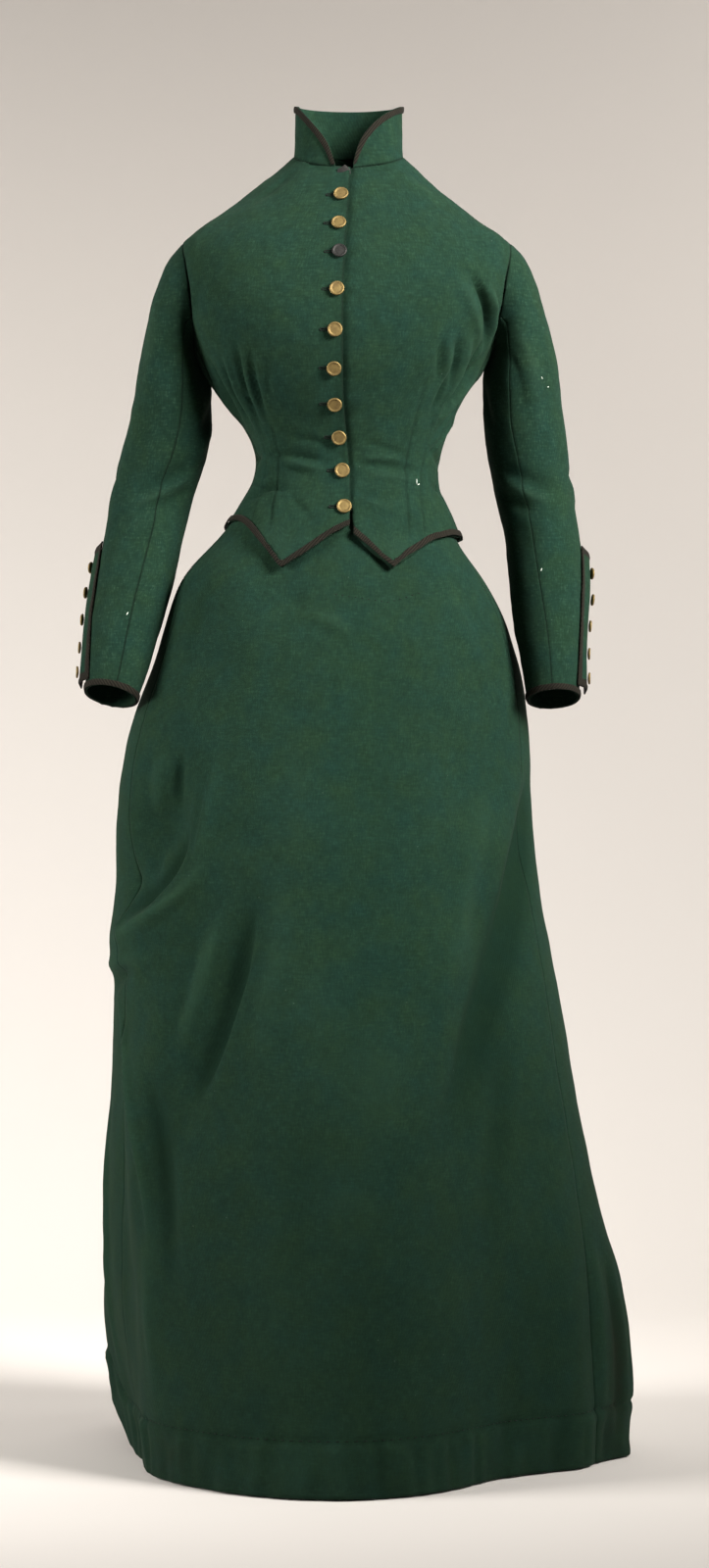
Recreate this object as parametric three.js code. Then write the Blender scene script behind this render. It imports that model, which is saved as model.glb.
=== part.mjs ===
// A lady's riding habit of dark green wool: a fitted bodice with coat sleeves over a long draped
// skirt, set as worn. Millimetres, +Z up, the front faces -Y and +X is the wearer's left.
// The origin is the middle of the waist. Angles are in degrees round the wearer, from 0 at the
// front to +90 at the wearer's left and -90 at the right.
import * as THREE from "three";

// ---------- driving sizes ----------
const cloth = 2; // thickness of the wool
const seam = 0.3; // space left between two pieces
const braidWidth = 6.5;
const braidThickness = 1.2;
const braidRise = 0.5; // how far a braid stands off the cloth under it
const lapDepth = 3.2; // how far the left front lies under the right one
const lapWidth = 15;
const skirtEase = 5; // room between the bodice and the skirt under it
const hemHeight = -1068;
const buttonRadius = 8;
const cuffButtonRadius = 6.5;

// ---------- materials ----------
const wool = () => new THREE.MeshStandardMaterial({ color: 0x2d4b3c, roughness: 0.95, metalness: 0 });
const braid = () => new THREE.MeshStandardMaterial({ color: 0x322d28, roughness: 0.85, metalness: 0 });
const gilt = () => new THREE.MeshStandardMaterial({ color: 0x7d6946, roughness: 0.45, metalness: 0.9 });
const darkMetal = () => new THREE.MeshStandardMaterial({ color: 0x3c3c3c, roughness: 0.6, metalness: 0.7 });

// ---------- curves through the rows of a table ----------
const radians = THREE.MathUtils.degToRad;
const smooth = THREE.MathUtils.smoothstep;
const mix = THREE.MathUtils.lerp;
const clamp = THREE.MathUtils.clamp;

// A curve through one column of a table that never overshoots its rows.
function curveThrough(rows, over, column) {
  const at = rows.map((row) => row[over]);
  const value = rows.map((row) => row[column]);
  const last = rows.length - 1;
  const slope = at.slice(1).map((x, i) => (value[i + 1] - value[i]) / (x - at[i]));
  const tangent = value.map((_, i) => {
    if (i === 0) return slope[0];
    if (i === last) return slope[last - 1];
    const product = slope[i - 1] * slope[i];
    return product <= 0 ? 0 : (2 * product) / (slope[i - 1] + slope[i]);
  });
  return (x) => {
    const inside = clamp(x, at[0], at[last]);
    let i = 0;
    while (i < last - 1 && inside > at[i + 1]) i += 1;
    const span = at[i + 1] - at[i];
    const t = (inside - at[i]) / span;
    const start = (1 + 2 * t) * (1 - t) ** 2 * value[i] + t * (1 - t) ** 2 * span * tangent[i];
    const end = t * t * (3 - 2 * t) * value[i + 1] + t * t * (t - 1) * span * tangent[i + 1];
    return start + end;
  };
}

const wrapAngle = (angle) => THREE.MathUtils.euclideanModulo(angle + 180, 360) - 180;
const steps = (from, to, count) => Array.from({ length: count + 1 }, (_, i) => mix(from, to, i / count));

// ---------- the figure that the bodice is cut to ----------
// half: half the width; front, back: depths; sway: how far the middle lies to the wearer's left.
const figureRows = [
  { z: -130, half: 160, front: 128, back: 140, power: 2.1, sway: -9 },
  { z: -97, half: 146, front: 119, back: 127, power: 2.1, sway: -9 },
  { z: -60, half: 128.5, front: 108, back: 110, power: 2.1, sway: -9.3 },
  { z: -40, half: 121, front: 101, back: 100, power: 2.1, sway: -7.7 },
  { z: -24, half: 109.5, front: 95.5, back: 91, power: 2.1, sway: -5.5 },
  { z: -12, half: 101.5, front: 92, back: 86, power: 2.1, sway: -5 },
  { z: 4, half: 99, front: 90, back: 83, power: 2.1, sway: -3.5 },
  { z: 25, half: 101.5, front: 92, back: 83, power: 2.1, sway: 0.5 },
  { z: 44, half: 107.5, front: 97, back: 86, power: 2.1, sway: -1 },
  { z: 60, half: 116, front: 103, back: 89, power: 2.1, sway: -3 },
  { z: 87, half: 133, front: 115, back: 95, power: 2.15, sway: -7 },
  { z: 119, half: 151, front: 126, back: 102, power: 2.2, sway: -6 },
  { z: 149, half: 163, front: 131, back: 107, power: 2.3, sway: -5 },
  { z: 180, half: 173, front: 129, back: 110, power: 2.45, sway: -3 },
  { z: 210, half: 179, front: 121, back: 111, power: 2.5, sway: -2 },
  { z: 235, half: 182, front: 111, back: 109, power: 2.45, sway: -2 },
  { z: 256, half: 178, front: 101, back: 105, power: 2.3, sway: -3 },
  { z: 275, half: 151, front: 90, back: 99, power: 2.2, sway: -4.5 },
  { z: 300, half: 118, front: 75, back: 90, power: 2.1, sway: -3 },
  { z: 326, half: 85, front: 58, back: 73, power: 2, sway: -2 },
  { z: 340, half: 70, front: 50, back: 64, power: 2, sway: -1 },
  { z: 350, half: 60, front: 45, back: 59, power: 2, sway: -0.5 },
  { z: 362, half: 55, front: 41, back: 55, power: 2, sway: 0 },
];
const figure = {
  half: curveThrough(figureRows, "z", "half"),
  front: curveThrough(figureRows, "z", "front"),
  back: curveThrough(figureRows, "z", "back"),
  power: curveThrough(figureRows, "z", "power"),
  sway: curveThrough(figureRows, "z", "sway"),
};

// How far the figure reaches from its middle line at an angle and a height.
function figureReach(angle, z) {
  const aside = Math.abs(Math.sin(radians(angle)));
  const ahead = Math.cos(radians(angle));
  const depth = ahead > 0 ? figure.front(z) : figure.back(z);
  const power = figure.power(z);
  return ((aside / figure.half(z)) ** power + (Math.abs(ahead) / depth) ** power) ** (-1 / power);
}

function figurePoint(angle, z) {
  const reach = figureReach(angle, z);
  return new THREE.Vector3(
    figure.sway(z) + reach * Math.sin(radians(angle)),
    -reach * Math.cos(radians(angle)),
    z,
  );
}

// ---------- cloth walls ----------
// The outward direction of a surface, from points close beside the one asked for.
function outward(surface, u, v, uStep, vStep) {
  const alongU = surface(u + uStep, v).sub(surface(u - uStep, v));
  const alongV = surface(u, v + vStep).sub(surface(u, v - vStep));
  return alongU.cross(alongV).normalize();
}

// A net of cloth: rows of {at, out}, a point and its outward direction, from pairs of u and v.
function net(surface, rows, uStep, vStep) {
  return rows.map((row) =>
    row.map(([u, v]) => ({ at: surface(u, v), out: outward(surface, u, v, uStep, vStep) })),
  );
}
const figureNet = (rows) => net(figurePoint, rows, 0.5, 0.5);

const raised = (point, lift) => point.at.clone().addScaledVector(point.out, lift);

// A closed wall over a net: its face stands `lift` above the net and the wall goes inwards from it.
// A ring's last column joins its first.
function wall(name, rows, material, { lift = 0, thickness = cloth, ring = false } = {}) {
  const height = rows.length;
  const width = rows[0].length;
  const layer = height * width;
  const points = [];
  for (const depth of [lift, lift - thickness]) {
    for (const row of rows) {
      for (const point of row) points.push(raised(point, depth));
    }
  }
  const faces = [];
  const quad = (a, b, c, d) => faces.push(a, b, c, a, c, d);
  const outer = (row, column) => row * width + (column % width);
  const inner = (row, column) => layer + outer(row, column);
  const columns = ring ? width : width - 1;
  for (let row = 0; row < height - 1; row += 1) {
    for (let column = 0; column < columns; column += 1) {
      const [a, b] = [[row, column], [row, column + 1]];
      const [c, d] = [[row + 1, column + 1], [row + 1, column]];
      quad(outer(...a), outer(...b), outer(...c), outer(...d));
      quad(inner(...d), inner(...c), inner(...b), inner(...a));
    }
    if (!ring) {
      const end = width - 1;
      quad(outer(row, 0), outer(row + 1, 0), inner(row + 1, 0), inner(row, 0));
      quad(outer(row, end), inner(row, end), inner(row + 1, end), outer(row + 1, end));
    }
  }
  for (let column = 0; column < columns; column += 1) {
    const next = column + 1;
    const top = height - 1;
    quad(outer(0, column), inner(0, column), inner(0, next), outer(0, next));
    quad(outer(top, column), outer(top, next), inner(top, next), inner(top, column));
  }
  return solid(name, points, faces, material);
}

// A named mesh from points and triangles, turned so that its faces look out.
function solid(name, points, faces, material) {
  let volume = 0;
  for (let i = 0; i < faces.length; i += 3) {
    const [a, b, c] = [points[faces[i]], points[faces[i + 1]], points[faces[i + 2]]];
    volume += a.dot(b.clone().cross(c)) / 6;
  }
  const geometry = new THREE.BufferGeometry().setFromPoints(points);
  geometry.setIndex(volume > 0 ? faces : faces.reverse());
  geometry.computeVertexNormals();
  const mesh = new THREE.Mesh(geometry, material);
  mesh.name = name;
  return mesh;
}

// A four-sided net filled in between its edges. Bottom and top run across, left and right run up.
function patch(bottom, top, left, right) {
  const across = bottom.length - 1;
  const up = left.length - 1;
  return left.map((_, j) =>
    bottom.map((__, i) => {
      const u = i / across;
      const v = j / up;
      return [0, 1].map((k) => {
        const edges = mix(bottom[i][k], top[i][k], v) + mix(left[j][k], right[j][k], u);
        const corners = mix(mix(bottom[0][k], bottom[across][k], u), mix(top[0][k], top[across][k], u), v);
        return edges - corners;
      });
    }),
  );
}

// A band along the edge of a net, `width` wide as measured across the edge, on the net's own
// points. Each column starts on the edge and runs inwards.
function edgeBand(columns, width, ring = false) {
  const count = columns.length;
  const middle = [];
  const far = columns.map((column, i) => {
    const before = columns[ring ? (i + count - 1) % count : Math.max(i - 1, 0)][0].at;
    const after = columns[ring ? (i + 1) % count : Math.min(i + 1, count - 1)][0].at;
    const edge = after.clone().sub(before).normalize();
    const inwards = column[1].at.clone().sub(column[0].at).normalize();
    const slant = Math.max(edge.cross(inwards).length(), 0.4);
    const walk = width / slant;
    middle.push(along(column, walk / 2));
    return along(column, walk);
  });
  return [columns.map((column) => column[0]), middle, far];
}

// The point a walk's length up a column of a net.
function along(column, walk) {
  let left = walk;
  for (let i = 0; i < column.length - 1; i += 1) {
    const length = column[i].at.distanceTo(column[i + 1].at);
    if (left <= length || i === column.length - 2) {
      const part = Math.min(left / length, 1);
      return {
        at: column[i].at.clone().lerp(column[i + 1].at, part),
        out: column[i].out.clone().lerp(column[i + 1].out, part).normalize(),
      };
    }
    left -= length;
  }
  return column.at(-1);
}

const columnsOf = (rows) => rows[0].map((_, i) => rows.map((row) => row[i]));

// ---------- seams and edges of the bodice ----------
// The pointed basque, by angle round the wearer.
const basqueRows = [
  { angle: -180, z: -82 },
  { angle: -130, z: -70 },
  { angle: -95, z: -56 },
  { angle: -72, z: -48 },
  { angle: -62, z: -53 },
  { angle: -54, z: -64 },
  { angle: -45, z: -80 },
  { angle: -32, z: -103 },
  { angle: -25, z: -97 },
  { angle: -16, z: -82 },
  { angle: -8, z: -69 },
  { angle: 0, z: -58 },
  { angle: 2, z: -61 },
  { angle: 9, z: -75 },
  { angle: 17, z: -90 },
  { angle: 26.5, z: -102 },
  { angle: 32, z: -97 },
  { angle: 40, z: -84 },
  { angle: 48, z: -72 },
  { angle: 60, z: -65 },
  { angle: 72, z: -65 },
  { angle: 90, z: -69 },
  { angle: 130, z: -72 },
  { angle: 180, z: -82 },
];
const basqueCurve = curveThrough(basqueRows, "angle", "z");
const basque = (angle) => basqueCurve(wrapAngle(angle));

const neckRows = [
  { angle: 0, z: 331 },
  { angle: 40, z: 337 },
  { angle: 90, z: 350 },
  { angle: 180, z: 355 },
];
const neckCurve = curveThrough(neckRows, "angle", "z");
const neckSeam = (angle) => neckCurve(Math.abs(wrapAngle(angle)));

// The front edge of the right front, measured across from the middle.
const closingRows = [
  { z: -60, x: 1 },
  { z: -10, x: 2 },
  { z: 22, x: -1 },
  { z: 66, x: -5 },
  { z: 91, x: -6.4 },
  { z: 165, x: -6.4 },
  { z: 237, x: -4 },
  { z: 296, x: 0 },
  { z: 340, x: 2 },
];
const closingEdge = curveThrough(closingRows, "z", "x");
const frontAngle = (x, z) => THREE.MathUtils.radToDeg(Math.atan2(x - figure.sway(z), figure.front(z)));

// The armhole, by its own angle: 0 at the shoulder, 90 at its front, 180 under the arm.
const armhole = { middle: 199.5, rise: 56.5, spread: 16, parts: 24 };
const armholeAt = (side, turn) => [
  side * (90 - armhole.spread * Math.sin(radians(turn))),
  armhole.middle + armhole.rise * Math.cos(radians(turn)),
];
const armholeEdge = (side, from, to) =>
  steps(from, to, Math.abs(to - from) / (360 / armhole.parts)).map((turn) => armholeAt(side, turn));

// Where the long seams cross the hem, the waist and the ribs, and the armhole turn they end at.
const seams = {
  side: { hem: 80, waist: 79, ribs: 80, turn: 150 },
  body: { hem: 112, waist: 111, ribs: 103, turn: 195 },
  back: { hem: 152, waist: 156, ribs: 146, turn: 255 },
};
const seamRows = 8;
const ribs = 95;

// A long seam from the hem to the armhole, moved aside by half of the space between two pieces.
function longSeam(side, { hem, waist, ribs: rib, turn }, shift) {
  const [endAngle, endZ] = armholeAt(1, turn);
  const course = curveThrough(
    [
      { z: basque(side * hem), angle: hem },
      { z: 0, angle: waist },
      { z: ribs, angle: rib },
      { z: endZ, angle: endAngle },
    ],
    "z",
    "angle",
  );
  return steps(basque(side * hem), endZ, seamRows).map((z) => {
    const aside = THREE.MathUtils.radToDeg((shift * seam) / 2 / figureReach(90, z));
    return [side * (course(z) + aside), z];
  });
}

// The neck and shoulder edge: from the middle round to the side of the neck, then down the shoulder.
function neckAndShoulder(side, start, neckParts, shoulderParts, shift) {
  const aside = (z) => THREE.MathUtils.radToDeg((shift * seam) / 2 / figure.half(z));
  const neckEnd = 90 + aside(neckSeam(90));
  const neck = steps(start, neckEnd, neckParts).map((angle) => [side * angle, neckSeam(angle)]);
  const shoulder = steps(neckSeam(90), armholeAt(1, 0)[1], shoulderParts).slice(1);
  return [...neck, ...shoulder.map((z) => [side * (90 + aside(z)), z])];
}

const hemEdge = (from, to, parts) => steps(from, to, parts).map((angle) => [angle, basque(angle)]);

// ---------- bodice panels ----------
const panelParts = { frontNeck: 5, shoulder: 5, backNeck: 4, backShoulder: 5, body: 3, sideBack: 4 };
const lapStep = 4; // width of the step where the left front goes under

// A front, from the closing to the side seam and armhole. `away` is its distance from the closing.
function frontRows(side, away) {
  const edgeAngle = (z) => frontAngle(closingEdge(z) + side * away, z);
  const sideSeam = longSeam(side, seams.side, -1);
  const outerEdge = [...sideSeam, ...armholeEdge(side, seams.side.turn, 0).slice(1)];
  const low = basque(edgeAngle(-55));
  const high = neckSeam(edgeAngle(337));
  const innerEdge = steps(low, high, outerEdge.length - 1).map((z) => [edgeAngle(z), z]);
  const across = panelParts.frontNeck + panelParts.shoulder;
  const start = side * innerEdge.at(-1)[0];
  const top = neckAndShoulder(side, start, panelParts.frontNeck, panelParts.shoulder, -1);
  return patch(hemEdge(innerEdge[0][0], outerEdge[0][0], across), top, innerEdge, outerEdge);
}

function backRows(side) {
  const armholePart = armholeEdge(side, seams.back.turn, 360).slice(1);
  const outerEdge = [...longSeam(side, seams.back, 1), ...armholePart];
  const aside = (z) => THREE.MathUtils.radToDeg(seam / 2 / figure.back(z));
  const heights = steps(basque(180), neckSeam(180), outerEdge.length - 1);
  const middle = heights.map((z) => [side * (180 - aside(z)), z]);
  const across = panelParts.backNeck + panelParts.backShoulder;
  const top = neckAndShoulder(side, 180 - aside(350), panelParts.backNeck, panelParts.backShoulder, 1);
  return patch(hemEdge(middle[0][0], outerEdge[0][0], across), top, middle, outerEdge);
}

// A panel between two long seams, with the armhole along its top.
function sideRows(side, first, second, across) {
  const left = longSeam(side, first, 1);
  const right = longSeam(side, second, -1);
  const top = armholeEdge(side, first.turn, second.turn);
  return patch(hemEdge(left[0][0], right[0][0], across), top, left, right);
}

const bodiceNets = {};
for (const [name, side] of [["right", -1], ["left", 1]]) {
  bodiceNets[`${name}_front`] = figureNet(frontRows(side, side < 0 ? seam / 2 : lapStep));
  bodiceNets[`${name}_side_body`] = figureNet(sideRows(side, seams.side, seams.body, panelParts.body));
  bodiceNets[`${name}_side_back`] = figureNet(sideRows(side, seams.body, seams.back, panelParts.sideBack));
  bodiceNets[`${name}_back`] = figureNet(backRows(side));
}

// The left front has a strip that steps down and lies under the right front.
const underlapFoot = -50;
const underlapSteps = [
  { away: -lapWidth, drop: lapDepth },
  { away: 0.6, drop: lapDepth },
];
bodiceNets.left_front = bodiceNets.left_front.map((row) => {
  const z = Math.max(row[0].at.z, underlapFoot);
  const under = underlapSteps.map(({ away, drop }) => {
    const angle = frontAngle(closingEdge(z) + away, z);
    const point = figureNet([[[angle, z]]])[0][0];
    return { at: raised(point, -drop), out: point.out };
  });
  return [...under, ...row];
});

// ---------- collar ----------
// The top edge of the collar: cut away to the neck in front in a long curve.
const collarRows = [
  { angle: 6.5, z: 337 },
  { angle: 10, z: 352 },
  { angle: 14, z: 363 },
  { angle: 20, z: 372 },
  { angle: 29, z: 382 },
  { angle: 46, z: 394 },
  { angle: 70, z: 402 },
  { angle: 100, z: 405 },
  { angle: 180, z: 406 },
  { angle: 260, z: 405 },
  { angle: 290, z: 402 },
  { angle: 306, z: 392 },
  { angle: 323, z: 377 },
  { angle: 335, z: 363 },
  { angle: 341, z: 350 },
  { angle: 345.5, z: 336 },
];
const collarTop = curveThrough(collarRows, "angle", "z");
const collarMouth = { half: 59, front: 47, back: 52, z: 406 };

// The collar leans a little outwards from the neck seam to its top edge.
function collarPoint(angle, rise) {
  const low = figurePoint(angle, neckSeam(angle));
  const depth = Math.cos(radians(angle)) > 0 ? collarMouth.front : collarMouth.back;
  const full = new THREE.Vector3(
    collarMouth.half * Math.sin(radians(angle)),
    -depth * Math.cos(radians(angle)),
    collarMouth.z,
  );
  return low.lerp(full, rise);
}

function collarNet() {
  const turns = [6.5, 10, 14, 20, 29, 40, ...steps(54, 306, 14), 315, 323, 335, 341, 345.5];
  const heights = 4;
  const rows = steps(0, 1, heights).map((part) =>
    turns.map((angle) => {
      const low = neckSeam(angle);
      const foot = (2 * seam) / (collarMouth.z - low);
      return [angle, mix(foot, (collarTop(angle) - low) / (collarMouth.z - low), part)];
    }),
  );
  return net(collarPoint, rows, 0.5, 0.02);
}

// ---------- sleeves ----------
// Each arm by the height of its sections. x: middle, from the wearer's middle line; y: middle,
// behind it; half, depth: half the width and half the depth; fore, hind: its two seams, in degrees
// from the front of the arm to its outer side.
const armTables = {
  right: [
    { z: -240, x: 257, y: -46, half: 28.5, depth: 33, fore: -14, hind: 84 },
    { z: -206, x: 250.5, y: -34, half: 35, depth: 37, fore: -12, hind: 88 },
    { z: -155, x: 242, y: -15, half: 40, depth: 42, fore: -12, hind: 96 },
    { z: -104, x: 231, y: 4, half: 42.5, depth: 46, fore: -14, hind: 106 },
    { z: -52, x: 222, y: 19, half: 43.5, depth: 48, fore: -16, hind: 118 },
    { z: -14, x: 216, y: 24, half: 45.5, depth: 50, fore: -12, hind: 126 },
    { z: 25, x: 201, y: 20, half: 46, depth: 50, fore: -10, hind: 134 },
    { z: 63, x: 193, y: 14, half: 47, depth: 52, fore: -14, hind: 142 },
    { z: 105, x: 194.5, y: 8, half: 38, depth: 54, fore: -22, hind: 152 },
  ],
  left: [
    { z: -243, x: 221, y: -46, half: 28.5, depth: 33, fore: -6, hind: 84 },
    { z: -206, x: 219, y: -34, half: 33, depth: 37, fore: -4, hind: 88 },
    { z: -155, x: 215.5, y: -15, half: 38.5, depth: 42, fore: -8, hind: 96 },
    { z: -104, x: 214.5, y: 4, half: 42, depth: 46, fore: -18, hind: 106 },
    { z: -52, x: 209.5, y: 19, half: 40.5, depth: 48, fore: -20, hind: 118 },
    { z: -14, x: 201.5, y: 24, half: 43, depth: 50, fore: -18, hind: 126 },
    { z: 25, x: 196, y: 20, half: 45, depth: 50, fore: -16, hind: 134 },
    { z: 63, x: 189.5, y: 14, half: 45.5, depth: 52, fore: -20, hind: 142 },
    { z: 105, x: 190, y: 8, half: 41.5, depth: 54, fore: -24, hind: 152 },
  ],
};
const sleeveHead = { fore: -30, hind: 165, parts: 4, roll: 0.13, clear: 4, hang: 0.3, lean: 0.16 };
const armParts = 9;
const sleeveParts = { upper: 13, under: 11 };

function armOf(name) {
  const rows = armTables[name];
  const columns = ["x", "y", "half", "depth", "fore", "hind"];
  const arm = Object.fromEntries(columns.map((column) => [column, curveThrough(rows, "z", column)]));
  return { ...arm, side: name === "left" ? 1 : -1, low: rows[0].z, high: rows.at(-1).z };
}

// The arm's direction and the two directions across it, at a height.
function armFrame(arm, z) {
  const step = 12;
  const [up, down] = [Math.min(z + step, arm.high), Math.max(z - step, arm.low)];
  const axis = new THREE.Vector3(
    arm.side * (arm.x(down) - arm.x(up)),
    arm.y(down) - arm.y(up),
    down - up,
  ).normalize();
  const sideways = new THREE.Vector3(arm.side, 0, 0).addScaledVector(axis, -arm.side * axis.x).normalize();
  const forward = new THREE.Vector3(0, -1, 0);
  forward.addScaledVector(axis, -forward.dot(axis)).addScaledVector(sideways, -forward.dot(sideways));
  return { axis, sideways, forward: forward.normalize() };
}

function armPoint(arm, z, turn) {
  const { sideways, forward } = armFrame(arm, z);
  return new THREE.Vector3(arm.side * arm.x(z), arm.y(z), z)
    .addScaledVector(sideways, arm.half(z) * Math.sin(radians(turn)))
    .addScaledVector(forward, arm.depth(z) * Math.cos(radians(turn)));
}

// A sleeve by its length, 0 to 1 from the armhole to the arm and 1 to 2 down to the cuff.
function sleevePoint(arm, length, turn) {
  if (length >= 1) return armPoint(arm, mix(arm.high, arm.low, length - 1), turn);
  const start = figurePoint(...armholeAt(arm.side, 90 - turn));
  start.x += arm.side * seam;
  const end = armPoint(arm, arm.high, turn);
  const reach = start.distanceTo(end);
  const roll = start.clone();
  roll.x += arm.side * (sleeveHead.clear + sleeveHead.roll * reach);
  const hang = end.clone().addScaledVector(armFrame(arm, arm.high).axis, -sleeveHead.hang * reach);
  hang.x = mix(hang.x, start.x, sleeveHead.lean);
  return new THREE.CubicBezierCurve3(start, roll, hang, end).getPoint(clamp(length, 0, 1));
}

function sleeveNet(arm, piece) {
  const lengths = [...steps(0, 1, sleeveHead.parts), ...steps(1, 2, armParts).slice(1)];
  const surface = (turn, length) => sleevePoint(arm, length, turn);
  const rows = lengths.map((length) => {
    const z = mix(arm.high, arm.low, clamp(length - 1, 0, 1));
    const headPart = clamp(length, 0, 1);
    const fore = mix(sleeveHead.fore, arm.fore(z), headPart);
    const hind = mix(sleeveHead.hind, arm.hind(z), headPart);
    const [from, to] = piece === "upper" ? [fore, hind] : [hind, fore + 360];
    const aside = length === 0 ? 0 : THREE.MathUtils.radToDeg(seam / 2 / arm.half(z));
    return steps(from + aside, to - aside, sleeveParts[piece]).map((turn) => [turn, length]);
  });
  return net(surface, rows, 1, 0.01).map((row) =>
    row.map((point) => ({ at: point.at, out: point.out.multiplyScalar(-arm.side) })),
  );
}

// ---------- skirt ----------
// How far the skirt reaches in eight directions round the wearer, at each height.
const skirtRows = [
  {
    z: -1068, front: 311, leftFront: 229, left: 299, leftBack: 345,
    back: 425, rightBack: 372, right: 230, rightFront: 267,
  },
  {
    z: -998, front: 300, leftFront: 228, left: 297, leftBack: 335,
    back: 400, rightBack: 362, right: 238, rightFront: 269,
  },
  {
    z: -902, front: 285, leftFront: 225, left: 291, leftBack: 312,
    back: 370, rightBack: 349, right: 256, rightFront: 265,
  },
  {
    z: -774, front: 262, leftFront: 215, left: 265, leftBack: 280,
    back: 330, rightBack: 310, right: 260, rightFront: 250,
  },
  {
    z: -613, front: 232, leftFront: 200, left: 236, leftBack: 255,
    back: 282, rightBack: 285, right: 257, rightFront: 230,
  },
  {
    z: -549, front: 218, leftFront: 195, left: 224, leftBack: 244,
    back: 262, rightBack: 275, right: 254, rightFront: 222,
  },
  {
    z: -485, front: 205, leftFront: 188, left: 213, leftBack: 232,
    back: 245, rightBack: 262, right: 262, rightFront: 214,
  },
  {
    z: -400, front: 188, leftFront: 180, left: 203, leftBack: 216,
    back: 222, rightBack: 247, right: 257, rightFront: 206,
  },
  {
    z: -330, front: 172, leftFront: 170, left: 198, leftBack: 203,
    back: 205, rightBack: 232, right: 251, rightFront: 198,
  },
  {
    z: -258, front: 158, leftFront: 160, left: 194, leftBack: 188,
    back: 188, rightBack: 214, right: 234, rightFront: 184,
  },
  {
    z: -168, front: 140, leftFront: 148, left: 178, leftBack: 166,
    back: 165, rightBack: 186, right: 202, rightFront: 165,
  },
  {
    z: -110, front: 126, leftFront: 135, left: 148, leftBack: 146,
    back: 142, rightBack: 164, right: 187, rightFront: 152,
  },
  {
    z: -80, front: 117, leftFront: 126, left: 131, leftBack: 132,
    back: 126, rightBack: 146, right: 162, rightFront: 139,
  },
  {
    z: -50, front: 104, leftFront: 112, left: 114, leftBack: 114,
    back: 106, rightBack: 122, right: 134, rightFront: 118,
  },
  {
    z: 0, front: 90, leftFront: 96, left: 100, leftBack: 90,
    back: 82, rightBack: 90, right: 100, rightFront: 96,
  },
];
const directions = ["front", "leftFront", "left", "leftBack", "back", "rightBack", "right", "rightFront"];
const skirtReaches = directions.map((direction) => curveThrough(skirtRows, "z", direction));

// Folds that hang down the skirt. lift: how far one stands out, or in if below 0; drift: how far
// round it wanders on its way down; it grows from `starts` to `full`, and dies out by `ends`.
const folds = [
  { angle: -36, drift: -16, spread: 6, lift: -12, starts: -440, full: -540, fades: -640, ends: -770 },
  { angle: -57, drift: -6, spread: 7, lift: 7, starts: -520, full: -600, fades: -700, ends: -830 },
  { angle: -73, drift: 22, spread: 5, lift: 7, starts: -600, full: -690, fades: -860, ends: -1000 },
  { angle: -82, drift: 16, spread: 5, lift: -7, starts: -600, full: -690, fades: -880, ends: -1020 },
  { angle: 52, drift: -24, spread: 8, lift: -8, starts: -400, full: -480, fades: -700, ends: -840 },
  { angle: 68, spread: 5, lift: 9, starts: -650, full: -1000 },
  { angle: 80, spread: 5, lift: -9, starts: -700, full: -960 },
  { angle: 88, spread: 6, lift: 8, starts: -820, full: -930, fades: -950, ends: -1040 },
  { angle: 93, spread: 6, lift: 9, starts: -600, full: -1000 },
  { angle: 118, spread: 8, lift: 12, starts: -180, full: -800 },
  { angle: 136, spread: 7, lift: -12, starts: -120, full: -700 },
  { angle: 154, spread: 8, lift: 15, starts: -90, full: -700 },
  { angle: 172, spread: 7, lift: -13, starts: -80, full: -600 },
  { angle: 190, spread: 8, lift: 16, starts: -80, full: -700 },
  { angle: 208, spread: 8, lift: -14, starts: -100, full: -650 },
  { angle: 226, spread: 8, lift: 14, starts: -160, full: -800 },
  { angle: 243, spread: 6, lift: -14, starts: -560, full: -900 },
  { angle: 255, spread: 6, lift: 3, starts: -600, full: -1000 },
];

function foldLift(angle, z) {
  return folds.reduce((sum, fold) => {
    const { drift = 0, fades = hemHeight - 1, ends = hemHeight - 2 } = fold;
    const middle = fold.angle + drift * smooth(-z, -fold.starts, -ends);
    const across = Math.exp(-((wrapAngle(angle - middle) / fold.spread) ** 2));
    const down = smooth(-z, -fold.starts, -fold.full) * (1 - smooth(-z, -fades, -ends));
    return sum + fold.lift * across * down;
  }, 0);
}

// The swag at the right knee: its crest runs down the side and turns round towards the back.
const swagCrest = [
  { angle: -47, z: -270 },
  { angle: -48, z: -331 },
  { angle: -49, z: -378 },
  { angle: -52, z: -415 },
  { angle: -58, z: -450 },
  { angle: -66, z: -478 },
  { angle: -76, z: -494 },
  { angle: -90, z: -505 },
  { angle: -112, z: -512 },
];
const swag = { lift: 12, width: 30, hollow: 24, inside: 48, arc: 3.9 };

// How high the swag stands at a place: a rounded crest with a hollow above and behind it.
function swagLift(angle, z) {
  let nearest = { distance: Infinity };
  for (let i = 0; i < swagCrest.length - 1; i += 1) {
    const [from, to] = [swagCrest[i], swagCrest[i + 1]];
    const run = new THREE.Vector2((to.angle - from.angle) * swag.arc, to.z - from.z);
    const place = new THREE.Vector2((angle - from.angle) * swag.arc, z - from.z);
    const part = clamp(place.dot(run) / run.lengthSq(), 0, 1);
    const away = place.clone().addScaledVector(run, -part);
    const distance = away.length();
    if (distance < nearest.distance) {
      const inside = run.x * place.y - run.y * place.x < 0;
      nearest = { distance, inside, part: (i + part) / (swagCrest.length - 1) };
    }
  }
  const side = nearest.inside ? nearest.distance : -nearest.distance;
  const ends = smooth(nearest.part, 0, 0.3) * (1 - smooth(nearest.part, 0.72, 1));
  const crest = swag.lift * Math.exp(-((side / swag.width) ** 2));
  const hollow = swag.hollow * Math.exp(-(((side - swag.inside) / swag.width) ** 2));
  return ends * (crest - hollow);
}

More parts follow.
